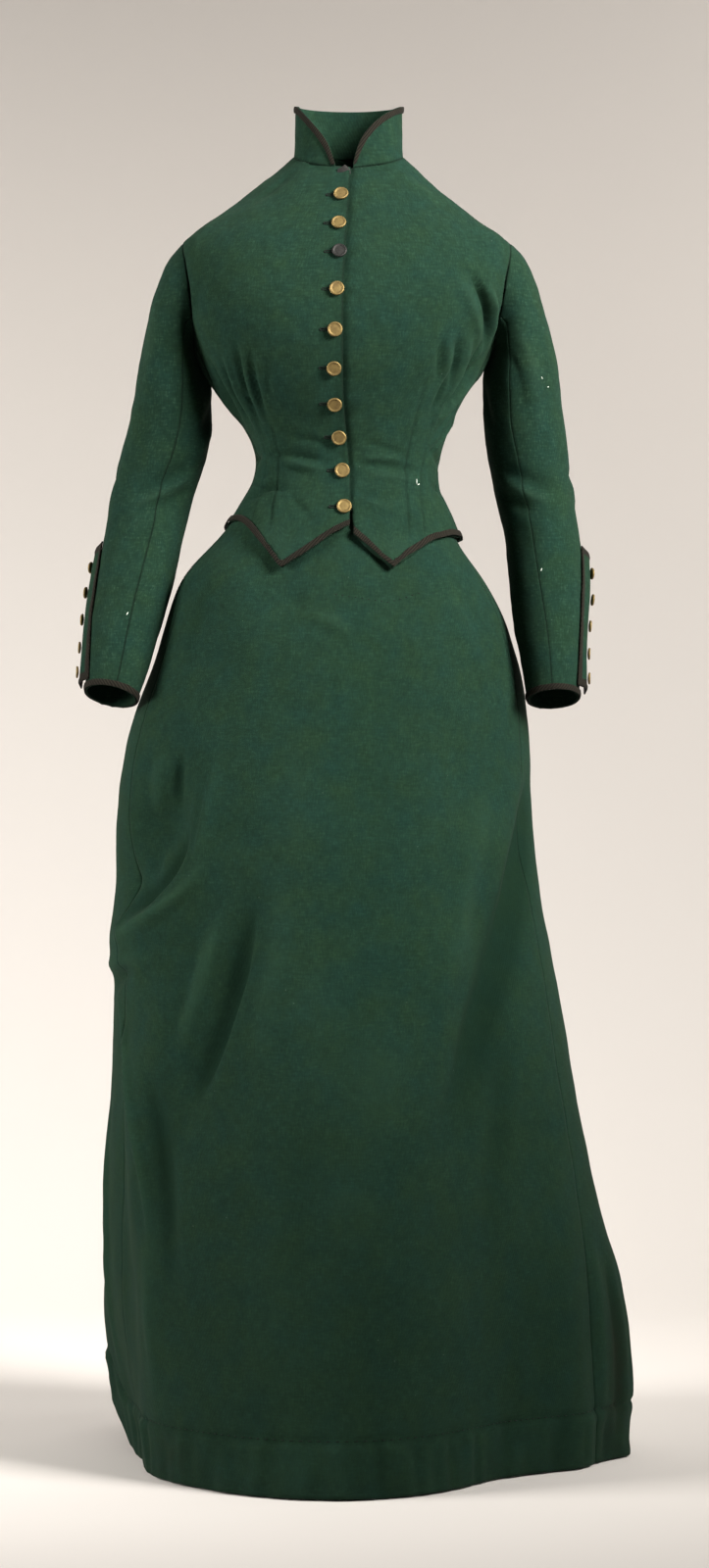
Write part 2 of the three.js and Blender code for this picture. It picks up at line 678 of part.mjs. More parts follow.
// The hem of the skirt, hitched up behind the right side.
const skirtHemRows = [
  { angle: -180, z: -985 },
  { angle: -160, z: -962 },
  { angle: -140, z: -955 },
  { angle: -127, z: -957 },
  { angle: -121, z: -964 },
  { angle: -116, z: -990 },
  { angle: -111, z: -1009 },
  { angle: -104, z: -1022 },
  { angle: -99, z: -1046 },
  { angle: -93, z: -1068 },
  { angle: 105, z: -1068 },
  { angle: 135, z: -1045 },
  { angle: 180, z: -985 },
];
const skirtHemCurve = curveThrough(skirtHemRows, "angle", "z");
const hitchStart = -600;

function skirtTableReach(angle, z) {
  const turn = THREE.MathUtils.euclideanModulo(angle, 360) / 45;
  const first = Math.floor(turn);
  const t = turn - first;
  const [a, b, c, d] = [-1, 0, 1, 2].map((offset) => skirtReaches[(first + offset + 8) % 8](z));
  return b + 0.5 * t * (c - a + t * (2 * a - 5 * b + 4 * c - d + t * (3 * (b - c) + d - a)));
}

// The skirt follows the bodice under its basque and falls free a little below it.
const basqueHold = { ends: 5, free: 42 };
function skirtPoint(angle, z) {
  const flare = (figureReach(angle, z - 2) - figureReach(angle, z + 2)) / 4;
  const under = figureReach(angle, z) - (cloth + skirtEase) * Math.hypot(1, flare);
  const free = 1 - smooth(z, basque(angle) - basqueHold.free, basque(angle) - basqueHold.ends);
  let reach = mix(under, skirtTableReach(angle, z), free);
  reach += foldLift(angle, z);
  reach += swagLift(wrapAngle(angle), z);
  const sway = figure.sway(z) * (1 - free);
  return new THREE.Vector3(sway + reach * Math.sin(radians(angle)), -reach * Math.cos(radians(angle)), z);
}

// Levels from the hem up: each row of the table, and one between where two rows are far apart.
const farApart = 60;
const skirtLevels = skirtRows.flatMap(({ z }, i) => {
  const above = skirtRows[i + 1]?.z ?? z;
  return above - z > farApart ? [z, (z + above) / 2] : [z];
});

function skirtNet(from, to, stepAngle) {
  const parts = Math.round((to - from) / stepAngle);
  const rows = skirtLevels.map((level) => {
    const aside = THREE.MathUtils.radToDeg(seam / 2 / skirtTableReach(from, level));
    return steps(from + aside, to - aside, parts).map((angle) => {
      const drop = (skirtHemCurve(wrapAngle(angle)) - hitchStart) / (hemHeight - hitchStart);
      const z = level > hitchStart ? level : hitchStart + (level - hitchStart) * drop;
      return [angle, z];
    });
  });
  return net(skirtPoint, rows, 0.5, 1);
}

// ---------- buttons ----------
// A flat disc with a rounded rim and a low boss, standing on a place along its outward direction.
function button(name, place, radius, material, lift) {
  const profile = [
    new THREE.Vector2(0, 0),
    new THREE.Vector2(radius * 0.8, 0),
    new THREE.Vector2(radius, radius * 0.16),
    new THREE.Vector2(radius, radius * 0.3),
    new THREE.Vector2(radius * 0.86, radius * 0.42),
    new THREE.Vector2(0, radius * 0.46),
  ];
  const turns = 12;
  const points = [profile[0], profile.at(-1)].map(({ y }) => new THREE.Vector3(0, y, 0));
  const rings = profile.slice(1, -1);
  for (const { x, y } of rings) {
    for (const turn of steps(0, 360, turns).slice(1)) {
      points.push(new THREE.Vector3(x * Math.cos(radians(turn)), y, x * Math.sin(radians(turn))));
    }
  }
  const at = (ring, turn) => 2 + ring * turns + (turn % turns);
  const faces = [];
  for (let turn = 0; turn < turns; turn += 1) {
    faces.push(0, at(0, turn + 1), at(0, turn));
    faces.push(1, at(rings.length - 1, turn), at(rings.length - 1, turn + 1));
    for (let ring = 0; ring < rings.length - 1; ring += 1) {
      faces.push(at(ring, turn), at(ring, turn + 1), at(ring + 1, turn + 1));
      faces.push(at(ring, turn), at(ring + 1, turn + 1), at(ring + 1, turn));
    }
  }
  const turned = new THREE.Quaternion().setFromUnitVectors(new THREE.Vector3(0, 1, 0), place.out);
  const middle = raised(place, lift);
  return solid(name, points.map((point) => point.applyQuaternion(turned).add(middle)), faces, material);
}

// How far above its place a button stands so that its back just clears the panels under it.
function seatHeight(panels, place, radius) {
  const caster = new THREE.Raycaster();
  const above = 30;
  const across = new THREE.Vector3(0, 0, 1).cross(place.out).normalize();
  const up = place.out.clone().cross(across);
  const heights = [0, 0.5, 0.85].flatMap((part) =>
    steps(0, 360, 8).flatMap((turn) => {
      const from = raised(place, above)
        .addScaledVector(across, part * radius * Math.cos(radians(turn)))
        .addScaledVector(up, part * radius * Math.sin(radians(turn)));
      caster.set(from, place.out.clone().negate());
      return caster.intersectObjects(panels).slice(0, 1).map((hit) => above - hit.distance);
    }),
  );
  return Math.max(...heights) + seam;
}

// The ten front buttons, beside the closing.
const frontButtons = [
  { z: -38.5, x: -5 },
  { z: 1, x: -7 },
  { z: 36.5, x: -10.4 },
  { z: 71, x: -15 },
  { z: 108, x: -15.7 },
  { z: 148.5, x: -14.6 },
  { z: 192, x: -12.7 },
  { z: 233.5, x: -10 },
  { z: 265.5, x: -10.8 },
  { z: 299, x: -8.5 },
];
const darkButton = 7; // one button was lost and has a plain dark one in its place
const cuffButtons = [0.12, 0.32, 0.53, 0.74, 0.92]; // parts of the flap's length, from its top
const flapColumns = 5; // columns of the sleeve's net that a flap covers
const flapStand = [
  { walk: 8.5, stand: 5.5 },
  { walk: 34, stand: 4 },
  { walk: 62, stand: 3.5 },
  { walk: 90, stand: 4.5 },
  { walk: 118, stand: 6.5 },
  { walk: 146, stand: 8 },
  { walk: 172, stand: 9.5 },
];

// ---------- the habit, put together ----------
const habit = new THREE.Group();
habit.name = "riding_habit";

for (const [name, rows] of Object.entries(bodiceNets)) {
  habit.add(wall(`bodice_${name}`, rows, wool()));
}

const backColumns = [
  ...columnsOf(bodiceNets.left_side_body),
  ...columnsOf(bodiceNets.left_side_back).slice(1),
  ...columnsOf(bodiceNets.left_back).reverse().slice(1),
  ...columnsOf(bodiceNets.right_back).slice(1),
  ...columnsOf(bodiceNets.right_side_back).reverse().slice(1),
  ...columnsOf(bodiceNets.right_side_body).reverse().slice(1),
];
const onPanel = { lift: braidRise + braidThickness, thickness: braidThickness };
const hemBraids = {
  right_front: columnsOf(bodiceNets.right_front),
  left_front: columnsOf(bodiceNets.left_front).slice(underlapSteps.length),
  back: backColumns,
};
for (const [name, columns] of Object.entries(hemBraids)) {
  habit.add(wall(`basque_braid_${name}`, edgeBand(columns, braidWidth), braid(), onPanel));
}

const collar = collarNet();
habit.add(wall("collar", collar, wool()));
const collarColumns = columnsOf(collar).map((column) => [...column].reverse());
habit.add(wall("collar_braid", edgeBand(collarColumns, braidWidth), braid(), onPanel));

for (const name of ["right", "left"]) {
  const arm = armOf(name);
  const upper = sleeveNet(arm, "upper");
  const under = sleeveNet(arm, "under");
  habit.add(wall(`${name}_sleeve_upper`, upper, wool()));
  habit.add(wall(`${name}_sleeve_under`, under, wool()));

  const up = (rows) => columnsOf(rows).map((column) => [...column].reverse());
  const round = [...up(upper), ...up(under).slice(1, -1)];
  const cuffBand = edgeBand(round, braidWidth, true);
  habit.add(wall(`${name}_cuff_braid`, cuffBand, braid(), { ...onPanel, ring: true }));

  // The flap stands off the sleeve most along its outer edge and at its top.
  const flap = [...up(upper).slice(-flapColumns), up(under)[1]];
  const flapRows = flapStand.map(({ walk, stand }) =>
    flap.map((column, i) => {
      const place = along(column, walk);
      return { at: raised(place, stand * smooth(i, 0.5, flap.length - 2)), out: place.out };
    }),
  );
  const flapWall = wall(`${name}_cuff_flap`, flapRows, braid(), { lift: braidRise + cloth });
  habit.add(flapWall);

  cuffButtons.forEach((part, i) => {
    const place = along(flap[flapColumns - 1], mix(flapStand.at(-1).walk, flapStand[0].walk, part));
    const height = seatHeight([flapWall], place, cuffButtonRadius);
    habit.add(button(`${name}_cuff_button_${i + 1}`, place, cuffButtonRadius, gilt(), height));
  });
}

frontButtons.forEach(({ z, x }, i) => {
  const place = figureNet([[[frontAngle(x, z), z]]])[0][0];
  const material = i === darkButton ? darkMetal() : gilt();
  const height = seatHeight(habit.children, place, buttonRadius);
  habit.add(button(`front_button_${i + 1}`, place, buttonRadius, material, height));
});

const skirtStep = 6;
const skirtPanels = [
  { name: "front", from: -78, to: 78 },
  { name: "left_side", from: 78, to: 150 },
  { name: "back", from: 150, to: 210 },
  { name: "right_side", from: 210, to: 282 },
];
for (const { name, from, to } of skirtPanels) {
  habit.add(wall(`skirt_${name}`, skirtNet(from, to, skirtStep), wool()));
}

const bandRise = 28;
const bandRows = [seam, bandRise].map((z) => steps(0, 360, 60).slice(1).map((angle) => [angle, z]));
const level = ({ at, out }) => ({ at, out: out.setZ(0).normalize() });
const band = figureNet(bandRows).map((row) => row.map(level));
habit.add(wall("skirt_waistband", band, wool(), { lift: -cloth - skirtEase, ring: true }));

export default habit;
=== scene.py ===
import math

import bmesh
import bpy
import numpy as np
from mathutils import Matrix, Vector, noise
from mathutils.bvhtree import BVHTree
from mathutils.kdtree import KDTree


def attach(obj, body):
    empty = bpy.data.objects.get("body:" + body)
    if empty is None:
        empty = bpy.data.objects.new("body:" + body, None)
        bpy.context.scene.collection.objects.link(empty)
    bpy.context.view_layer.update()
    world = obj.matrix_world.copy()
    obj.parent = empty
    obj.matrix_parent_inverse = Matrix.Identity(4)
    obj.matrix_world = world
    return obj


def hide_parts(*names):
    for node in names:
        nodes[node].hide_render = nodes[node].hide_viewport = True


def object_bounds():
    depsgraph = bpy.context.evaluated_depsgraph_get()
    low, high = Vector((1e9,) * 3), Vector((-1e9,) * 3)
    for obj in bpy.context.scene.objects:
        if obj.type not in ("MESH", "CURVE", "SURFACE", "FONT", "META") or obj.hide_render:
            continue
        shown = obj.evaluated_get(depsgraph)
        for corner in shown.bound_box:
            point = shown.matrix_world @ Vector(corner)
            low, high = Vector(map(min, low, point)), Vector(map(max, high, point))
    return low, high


# A lady's riding habit of dark green wool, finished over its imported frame. Metres, +Z up; the front
# faces -Y and +X is the wearer's left. Tables are in millimetres and degrees: an angle is 0 at the
# front, +90 at the wearer's left and -90 at the right.
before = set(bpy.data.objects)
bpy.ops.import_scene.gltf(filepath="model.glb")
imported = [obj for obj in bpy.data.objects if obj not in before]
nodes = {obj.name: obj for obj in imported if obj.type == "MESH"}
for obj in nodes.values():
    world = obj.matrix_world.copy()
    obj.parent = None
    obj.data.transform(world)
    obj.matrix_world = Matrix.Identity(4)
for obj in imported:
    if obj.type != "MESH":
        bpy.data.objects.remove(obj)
cad_box = [list(corner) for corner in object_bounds()]
mm = 0.001


# ---------- Camera, backdrop and lights ----------
# A level camera five metres in front of the habit, a plain pale floor that curves up into a
# backdrop behind it, and large soft lights from the front, one side and above.
view_distance = 5.0
view_height = 1.712
view_middle = Vector((0.006, 0, -0.335))
camera_data = bpy.data.cameras.new("camera")
camera_data.sensor_width = 36
camera_data.lens = camera_data.sensor_width * view_distance / view_height
camera = bpy.data.objects.new("camera", camera_data)
camera.location = view_middle - Vector((0, view_distance, 0))
camera.rotation_euler = (math.radians(90), 0, 0)
bpy.context.scene.collection.objects.link(camera)
bpy.context.scene.camera = camera


def linear(colour):
    """An sRGB hex colour as the linear colour that a shader takes."""
    parts = [int(colour[i : i + 2], 16) / 255 for i in (1, 3, 5)]
    return [p / 12.92 if p <= 0.04045 else ((p + 0.055) / 1.055) ** 2.4 for p in parts] + [1.0]


def add(material, kind, sockets, **settings):
    """Adds a node with its own settings; sockets gives inputs a value or the output they take."""
    node = material.node_tree.nodes.new(kind)
    for setting, value in settings.items():
        setattr(node, setting, value)
    for socket, value in sockets.items():
        if isinstance(value, bpy.types.NodeSocket):
            material.node_tree.links.new(value, node.inputs[socket])
        else:
            node.inputs[socket].default_value = value
    return node


def new_material(name):
    """An empty material with its output node."""
    material = bpy.data.materials.new(name)
    material.use_nodes = True
    material.node_tree.nodes.clear()
    return material


def finish_material(material, shader):
    add(material, "ShaderNodeOutputMaterial", {"Surface": shader.outputs["BSDF"]})
    return material


def add_object(name, bm):
    """A smooth object from a bmesh, which is used up."""
    mesh = bpy.data.meshes.new(name)
    bm.to_mesh(mesh)
    bm.free()
    mesh.shade_smooth()
    piece = bpy.data.objects.new(name, mesh)
    bpy.context.scene.collection.objects.link(piece)
    return piece


# Painted studio paper: matt and even, with the faintest cloudiness.
paper = new_material("matt_studio_paper")
paper_place = add(paper, "ShaderNodeTexCoord", {}).outputs["Object"]
paper_clouds = add(paper, "ShaderNodeTexNoise", {"Vector": paper_place, "Scale": 0.8}).outputs["Fac"]
paper_colour = add(
    paper, "ShaderNodeMix", {0: paper_clouds, 6: linear("#e0dad4"), 7: linear("#dcd6d0")}, data_type="RGBA"
)
painted = add(
    paper, "ShaderNodeBsdfPrincipled", {"Base Color": paper_colour.outputs[2], "Roughness": 0.95}
)
# it shows only its painted side, so that the habit can be looked at from behind and below too
clear = add(paper, "ShaderNodeBsdfTransparent", {})
facing = add(paper, "ShaderNodeNewGeometry", {})
one_sided = add(
    paper,
    "ShaderNodeMixShader",
    {0: facing.outputs["Backfacing"], 1: painted.outputs["BSDF"], 2: clear.outputs["BSDF"]},
)
add(paper, "ShaderNodeOutputMaterial", {"Surface": one_sided.outputs["Shader"]})

floor_height = cad_box[0][2] - 2 * mm
floor_near, floor_far, wall_height, side_reach, corner_round = -7.0, 3.0, 5.0, 9.0, 1.6
bm = bmesh.new()
section = [(floor_near, floor_height), (floor_far, floor_height), (floor_far, wall_height)]
edge = [bm.verts.new((-side_reach, y, z)) for y, z in section]
lines = [bm.edges.new(edge[:2]), bm.edges.new(edge[1:])]
swept = bmesh.ops.extrude_edge_only(bm, edges=lines)["geom"]
far_edge = [v for v in swept if isinstance(v, bmesh.types.BMVert)]
bmesh.ops.translate(bm, verts=far_edge, vec=(2 * side_reach, 0, 0))
in_corner = {v for v in bm.verts if v.co.y > floor_far - mm and v.co.z < floor_height + mm}
corner = [e for e in bm.edges if in_corner.issuperset(e.verts)]
bmesh.ops.bevel(bm, geom=corner, offset=corner_round, segments=16, profile=0.5, affect="EDGES", material=-1)
bmesh.ops.recalc_face_normals(bm, faces=bm.faces)
if min(bm.faces, key=lambda face: face.calc_center_median().z).normal.z < 0:
    bmesh.ops.reverse_faces(bm, faces=bm.faces)
backdrop = add_object("backdrop", bm)
backdrop.data.materials.append(paper)

# aim: what a light points at; spread: how wide its grid lets it shine
softboxes = [
    {"name": "key", "at": (2.4, -1.9, 1.6), "aim": (0, 0, 0.4), "size": 1.5, "power": 55, "spread": 54},
    {"name": "fill", "at": (-3.0, -1.0, 0.4), "aim": (0, 0, -0.2), "size": 1.6, "power": 38, "spread": 80},
    {"name": "top", "at": (0, 0.9, 2.7), "aim": (0, 0.6, -1), "size": 2.4, "power": 17, "spread": 130},
    {"name": "wall_left", "at": (-2.6, 0.9, 0.3), "aim": (-0.9, 3, 0), "size": 2, "power": 4, "spread": 160},
    {"name": "wall_right", "at": (2.6, 0.9, 0.3), "aim": (1.1, 3, 0), "size": 2, "power": 44, "spread": 160},
]
for box in softboxes:
    light = bpy.data.lights.new(box["name"], "AREA")
    light.size = box["size"]
    light.energy = box["power"]
    light.spread = math.radians(box["spread"])
    light.color = linear("#fffdfa")[:3]
    lamp = bpy.data.objects.new(box["name"], light)
    lamp.location = box["at"]
    lamp.rotation_euler = (Vector(box["aim"]) - lamp.location).to_track_quat("-Z", "Y").to_euler()
    bpy.context.scene.collection.objects.link(lamp)

world = bpy.data.worlds.new("studio")
world.use_nodes = True
room_light = world.node_tree.nodes["Background"].inputs
room_light["Color"].default_value = linear("#f4f1ec")
room_light["Strength"].default_value = 0.12
bpy.context.scene.world = world
bpy.context.scene.view_settings.view_transform = "Standard"


# ---------- Skirt ----------
# The riding skirt: four panels of heavy fulled wool, sewn edge to edge and hung from a waistband
# inside the bodice. It is cut with a pocket for the knee at the right side, which hangs empty as a
# swag when its wearer stands. A deep hem is turned up inside and caught with one row of stitches.
cloth_levels = 3  # halvings of the frame's faces, down to 3 mm across
cloth_thickness, doubled_thickness = 1.5 * mm, 1.8 * mm
hem_depth = 58.0  # mm from the edge to the row of stitches
stitch_pitch = 8.0
body_middle = (0.0, 0.0)
same_place = 0.01 * mm  # vertices as close as this are one
edge_turn = math.radians(55)  # the least turn from a cloth's outer face to its cut edge
corner_turn = math.radians(24)  # the least turn that is a corner in the cloth's edge, not a curve
flat_turn, square_turn = math.radians(40), math.radians(60)  # what two triangles of one square may have


def parted(bm, sharp):
    """The faces of a mesh in groups that are parted by edges sharper than an angle."""
    groups, seen = [], set()
    for first in bm.faces:
        if first in seen:
            continue
        seen.add(first)
        group, waiting = [], [first]
        while waiting:
            face = waiting.pop()
            group.append(face)
            for joined in face.edges:
                if len(joined.link_faces) != 2 or joined.calc_face_angle() > sharp:
                    continue
                for other in joined.link_faces:
                    if other not in seen:
                        seen.add(other)
                        waiting.append(other)
        groups.append(group)
    return groups


def middle_at(middle, height):
    """The middle that a piece is wrapped round, at a height: the body's, or an arm's line."""
    if isinstance(middle, tuple):
        return middle
    return tuple(np.interp(height, middle["height"], middle[axis]) for axis in ("x", "y"))


def outer_cloth(name, middle=body_middle, levels=cloth_levels):
    """The outer face of a cloth node as its own smooth, finely divided mesh."""
    bm = bmesh.new()
    bm.from_mesh(nodes[name].data)
    bmesh.ops.remove_doubles(bm, verts=bm.verts, dist=same_place)

    def faces_out(group):
        total = 0.0
        for face in group:
            at = face.calc_center_median()
            x, y = middle_at(middle, at.z)
            total += face.calc_area() * face.normal.dot(Vector((at.x - x, at.y - y, 0)).normalized())
        return total

    outside = set(max(parted(bm, edge_turn), key=faces_out))
    bmesh.ops.delete(bm, geom=[face for face in bm.faces if face not in outside], context="FACES")
    bmesh.ops.join_triangles(
        bm, faces=bm.faces, angle_face_threshold=flat_turn, angle_shape_threshold=square_turn
    )
    pointed = bm.verts.layers.float.new("crease_vert")
    for v in bm.verts:
        rim = [e.other_vert(v).co - v.co for e in v.link_edges if e.is_boundary]
        if len(rim) == 2 and rim[0].angle(-rim[1]) > corner_turn:
            v[pointed] = 1.0
    piece = add_object(name + "_cloth", bm)
    divide = piece.modifiers.new("divide", "SUBSURF")
    divide.levels = divide.render_levels = levels
    divide.boundary_smooth = "PRESERVE_CORNERS"
    bpy.context.view_layer.update()
    fine = bpy.data.meshes.new_from_object(piece.evaluated_get(bpy.context.evaluated_depsgraph_get()))
    coarse = piece.data
    piece.modifiers.clear()
    piece.data = fine
    bpy.data.meshes.remove(coarse)
    return piece


def wrap(angle):
    """An angle brought between -180 and 180."""
    return (angle + 180) % 360 - 180


def points_of(piece):
    """The piece's vertices, a row for each."""
    points = np.empty(len(piece.data.vertices) * 3)
    piece.data.vertices.foreach_get("co", points)
    return points.reshape(-1, 3)


def move_points(piece, way):
    """Moves each vertex by its own way, in mm."""
    piece.data.vertices.foreach_set("co", (points_of(piece) + way * mm).ravel())
    piece.data.update()


def places(piece, middle=body_middle, side=1):
    """Each vertex's angle and height on the piece, how far it is from the middle, and its point."""
    points = points_of(piece)
    if isinstance(middle, tuple):
        x, y = middle
    else:
        x, y = (np.interp(points[:, 2], middle["height"], middle[axis]) for axis in ("x", "y"))
    across, ahead = side * (points[:, 0] - x), -(points[:, 1] - y)
    return {
        "angle": np.degrees(np.arctan2(across, ahead)),
        "height": points[:, 2] / mm,
        "reach": np.hypot(across, ahead) / mm,
        "point": points,
    }


def eased(value):
    """A smooth step from 0 to 1, as the value goes from 0 to 1."""
    value = np.clip(value, 0, 1)
    return value * value * (3 - 2 * value)


# A fold runs on a curve from start by bend to end, each an angle and a height. width: across half of
# it; lift: how far it stands out, or in if below 0. It is steeper on one side where it leans, and
# fades over a part of its length at each end. The last two columns may be left out.
fold_columns = ("start", "bend", "end", "width", "lift", "lean", "fade")
usual_fade = 0.4


def hump(distance, width):
    """A smooth hump: 1 where the distance is nothing, and nearly gone at twice the width."""
    return np.exp(-((distance / width) ** 2))


def fold_lift(at, folds):
    """How far a table of folds lifts the cloth at each place."""
    parts = 12
    lift = np.zeros(len(at["angle"]))
    arc = np.radians(at["reach"])
    for row in folds:
        fold = dict(zip(fold_columns, row))
        t = np.linspace(0, 1, parts + 1)[:, None]
        start, bend, end = (np.array(fold[place], float) for place in ("start", "bend", "end"))
        course = (1 - t) ** 2 * start + 2 * t * (1 - t) * bend + t * t * end
        nearest, along, hand = np.full(len(lift), 1e9), np.zeros(len(lift)), np.zeros(len(lift))
        for i in range(parts):
            run_x = wrap(course[i + 1][0] - course[i][0]) * arc
            run_z = course[i + 1][1] - course[i][1]
            x = wrap(at["angle"] - course[i][0]) * arc
            z = at["height"] - course[i][1]
            part = np.clip((x * run_x + z * run_z) / (run_x**2 + run_z**2), 0, 1)
            away_x, away_z = x - part * run_x, z - part * run_z
            distance = np.hypot(away_x, away_z)
            closer = distance < nearest
            nearest = np.where(closer, distance, nearest)
            along = np.where(closer, (i + part) / parts, along)
            hand = np.where(closer, np.sign(run_x * away_z - run_z * away_x), hand)
        width = fold["width"] * (1 + hand * fold.get("lean", 0))
        fade = fold.get("fade", usual_fade)
        ends = eased(along / fade) * eased((1 - along) / fade)
        lift += fold["lift"] * hump(nearest, width) * ends
    return lift


def uneven(at, size, seed):
    """Slow soft noise over the cloth, from -1 to 1. size: across one hump."""
    offset = Vector((seed * 7.3, seed * 3.1, seed * 5.7))
    return np.array([noise.noise(Vector(point) / (size * mm) + offset) for point in at["point"]])


def slack_lift(at, slack):
    """How far loose cloth stands off in soft humps. slack: rows of their lift, size and seed."""
    return sum(lift * uneven(at, size, seed) for lift, size, seed in slack)


def rim_of(piece):
    """The index and the place of each vertex on the piece's edge."""
    bm = bmesh.new()
    bm.from_mesh(piece.data)
    rim = [(v.index, v.co.copy()) for v in bm.verts if v.is_boundary]
    bm.free()
    return rim


def tree_of(spots):
    """A tree that finds the nearest of some places."""
    tree = KDTree(len(spots))
    for i, spot in enumerate(spots):
        tree.insert(spot, i)
    tree.balance()
    return tree


def rim_distance(piece, keep=lambda spot: True):
    """How far each vertex is from the piece's edge, in mm. keep: which places on it count."""
    tree = tree_of([spot for _, spot in rim_of(piece) if keep(spot)])
    return np.array([tree.find(v.co)[2] / mm for v in piece.data.vertices])


def lift_cloth(piece, lift):
    """Moves each vertex along its normal by a lift in mm."""
    normals = np.empty(len(lift) * 3)
    piece.data.vertex_normals.foreach_get("vector", normals)
    move_points(piece, normals.reshape(-1, 3) * lift[:, None])


def mark(piece, **marks):
    """Keeps each vertex's fold, its painted shade with some dust, and its soil for the wool to read, each 0
    where it isn't given.
    """
    for name in ("fold", "seam", "soil"):
        kept = piece.data.attributes.new(name, "FLOAT", "POINT")
        kept.data.foreach_set("value", np.float32(marks.get(name, np.zeros(len(piece.data.vertices)))))


def seam_shade(rim, width=1.3, depth=0.8):
    """How dark painted shade, with a little dust and wear, makes the cloth beside a seam or an edge, by the
    distance from it in mm.
    """
    return depth * hump(rim, width)


def close_seams(pieces, apart=(), reach=1.5):
    """Brings panels' edges together where they are sewn and less than reach in mm apart. apart: the
    names of two pieces that stay open."""
    rims = {piece.name: rim_of(piece) for piece in pieces}
    for piece in pieces:
        sewn_to = [other for other in rims if other != piece.name and {piece.name, other} != set(apart)]
        tree = tree_of([spot for other in sewn_to for _, spot in rims[other]])
        for index, spot in rims[piece.name]:
            near, _, distance = tree.find(spot)
            if distance < reach * mm:
                piece.data.vertices[index].co = (spot + near) / 2


def lay_weave(piece, at, grain):
    """A UV map in metres, with the warp straight down the piece's own grain line."""
    across = np.radians(wrap(at["angle"] - grain)) * at["reach"] * mm
    up = at["height"] * mm
    corners = np.empty(len(piece.data.loops), int)
    piece.data.loops.foreach_get("vertex_index", corners)
    weave = piece.data.uv_layers.new(name="weave")
    weave.data.foreach_set("uv", np.stack([across[corners], up[corners]], 1).ravel())


def thicken(piece, thickness=cloth_thickness):
    """Gives the cloth its thickness, inwards from its outer face."""
    wall = piece.modifiers.new("thickness", "SOLIDIFY")
    wall.thickness = thickness
    wall.offset = -1
    wall.use_even_offset = False


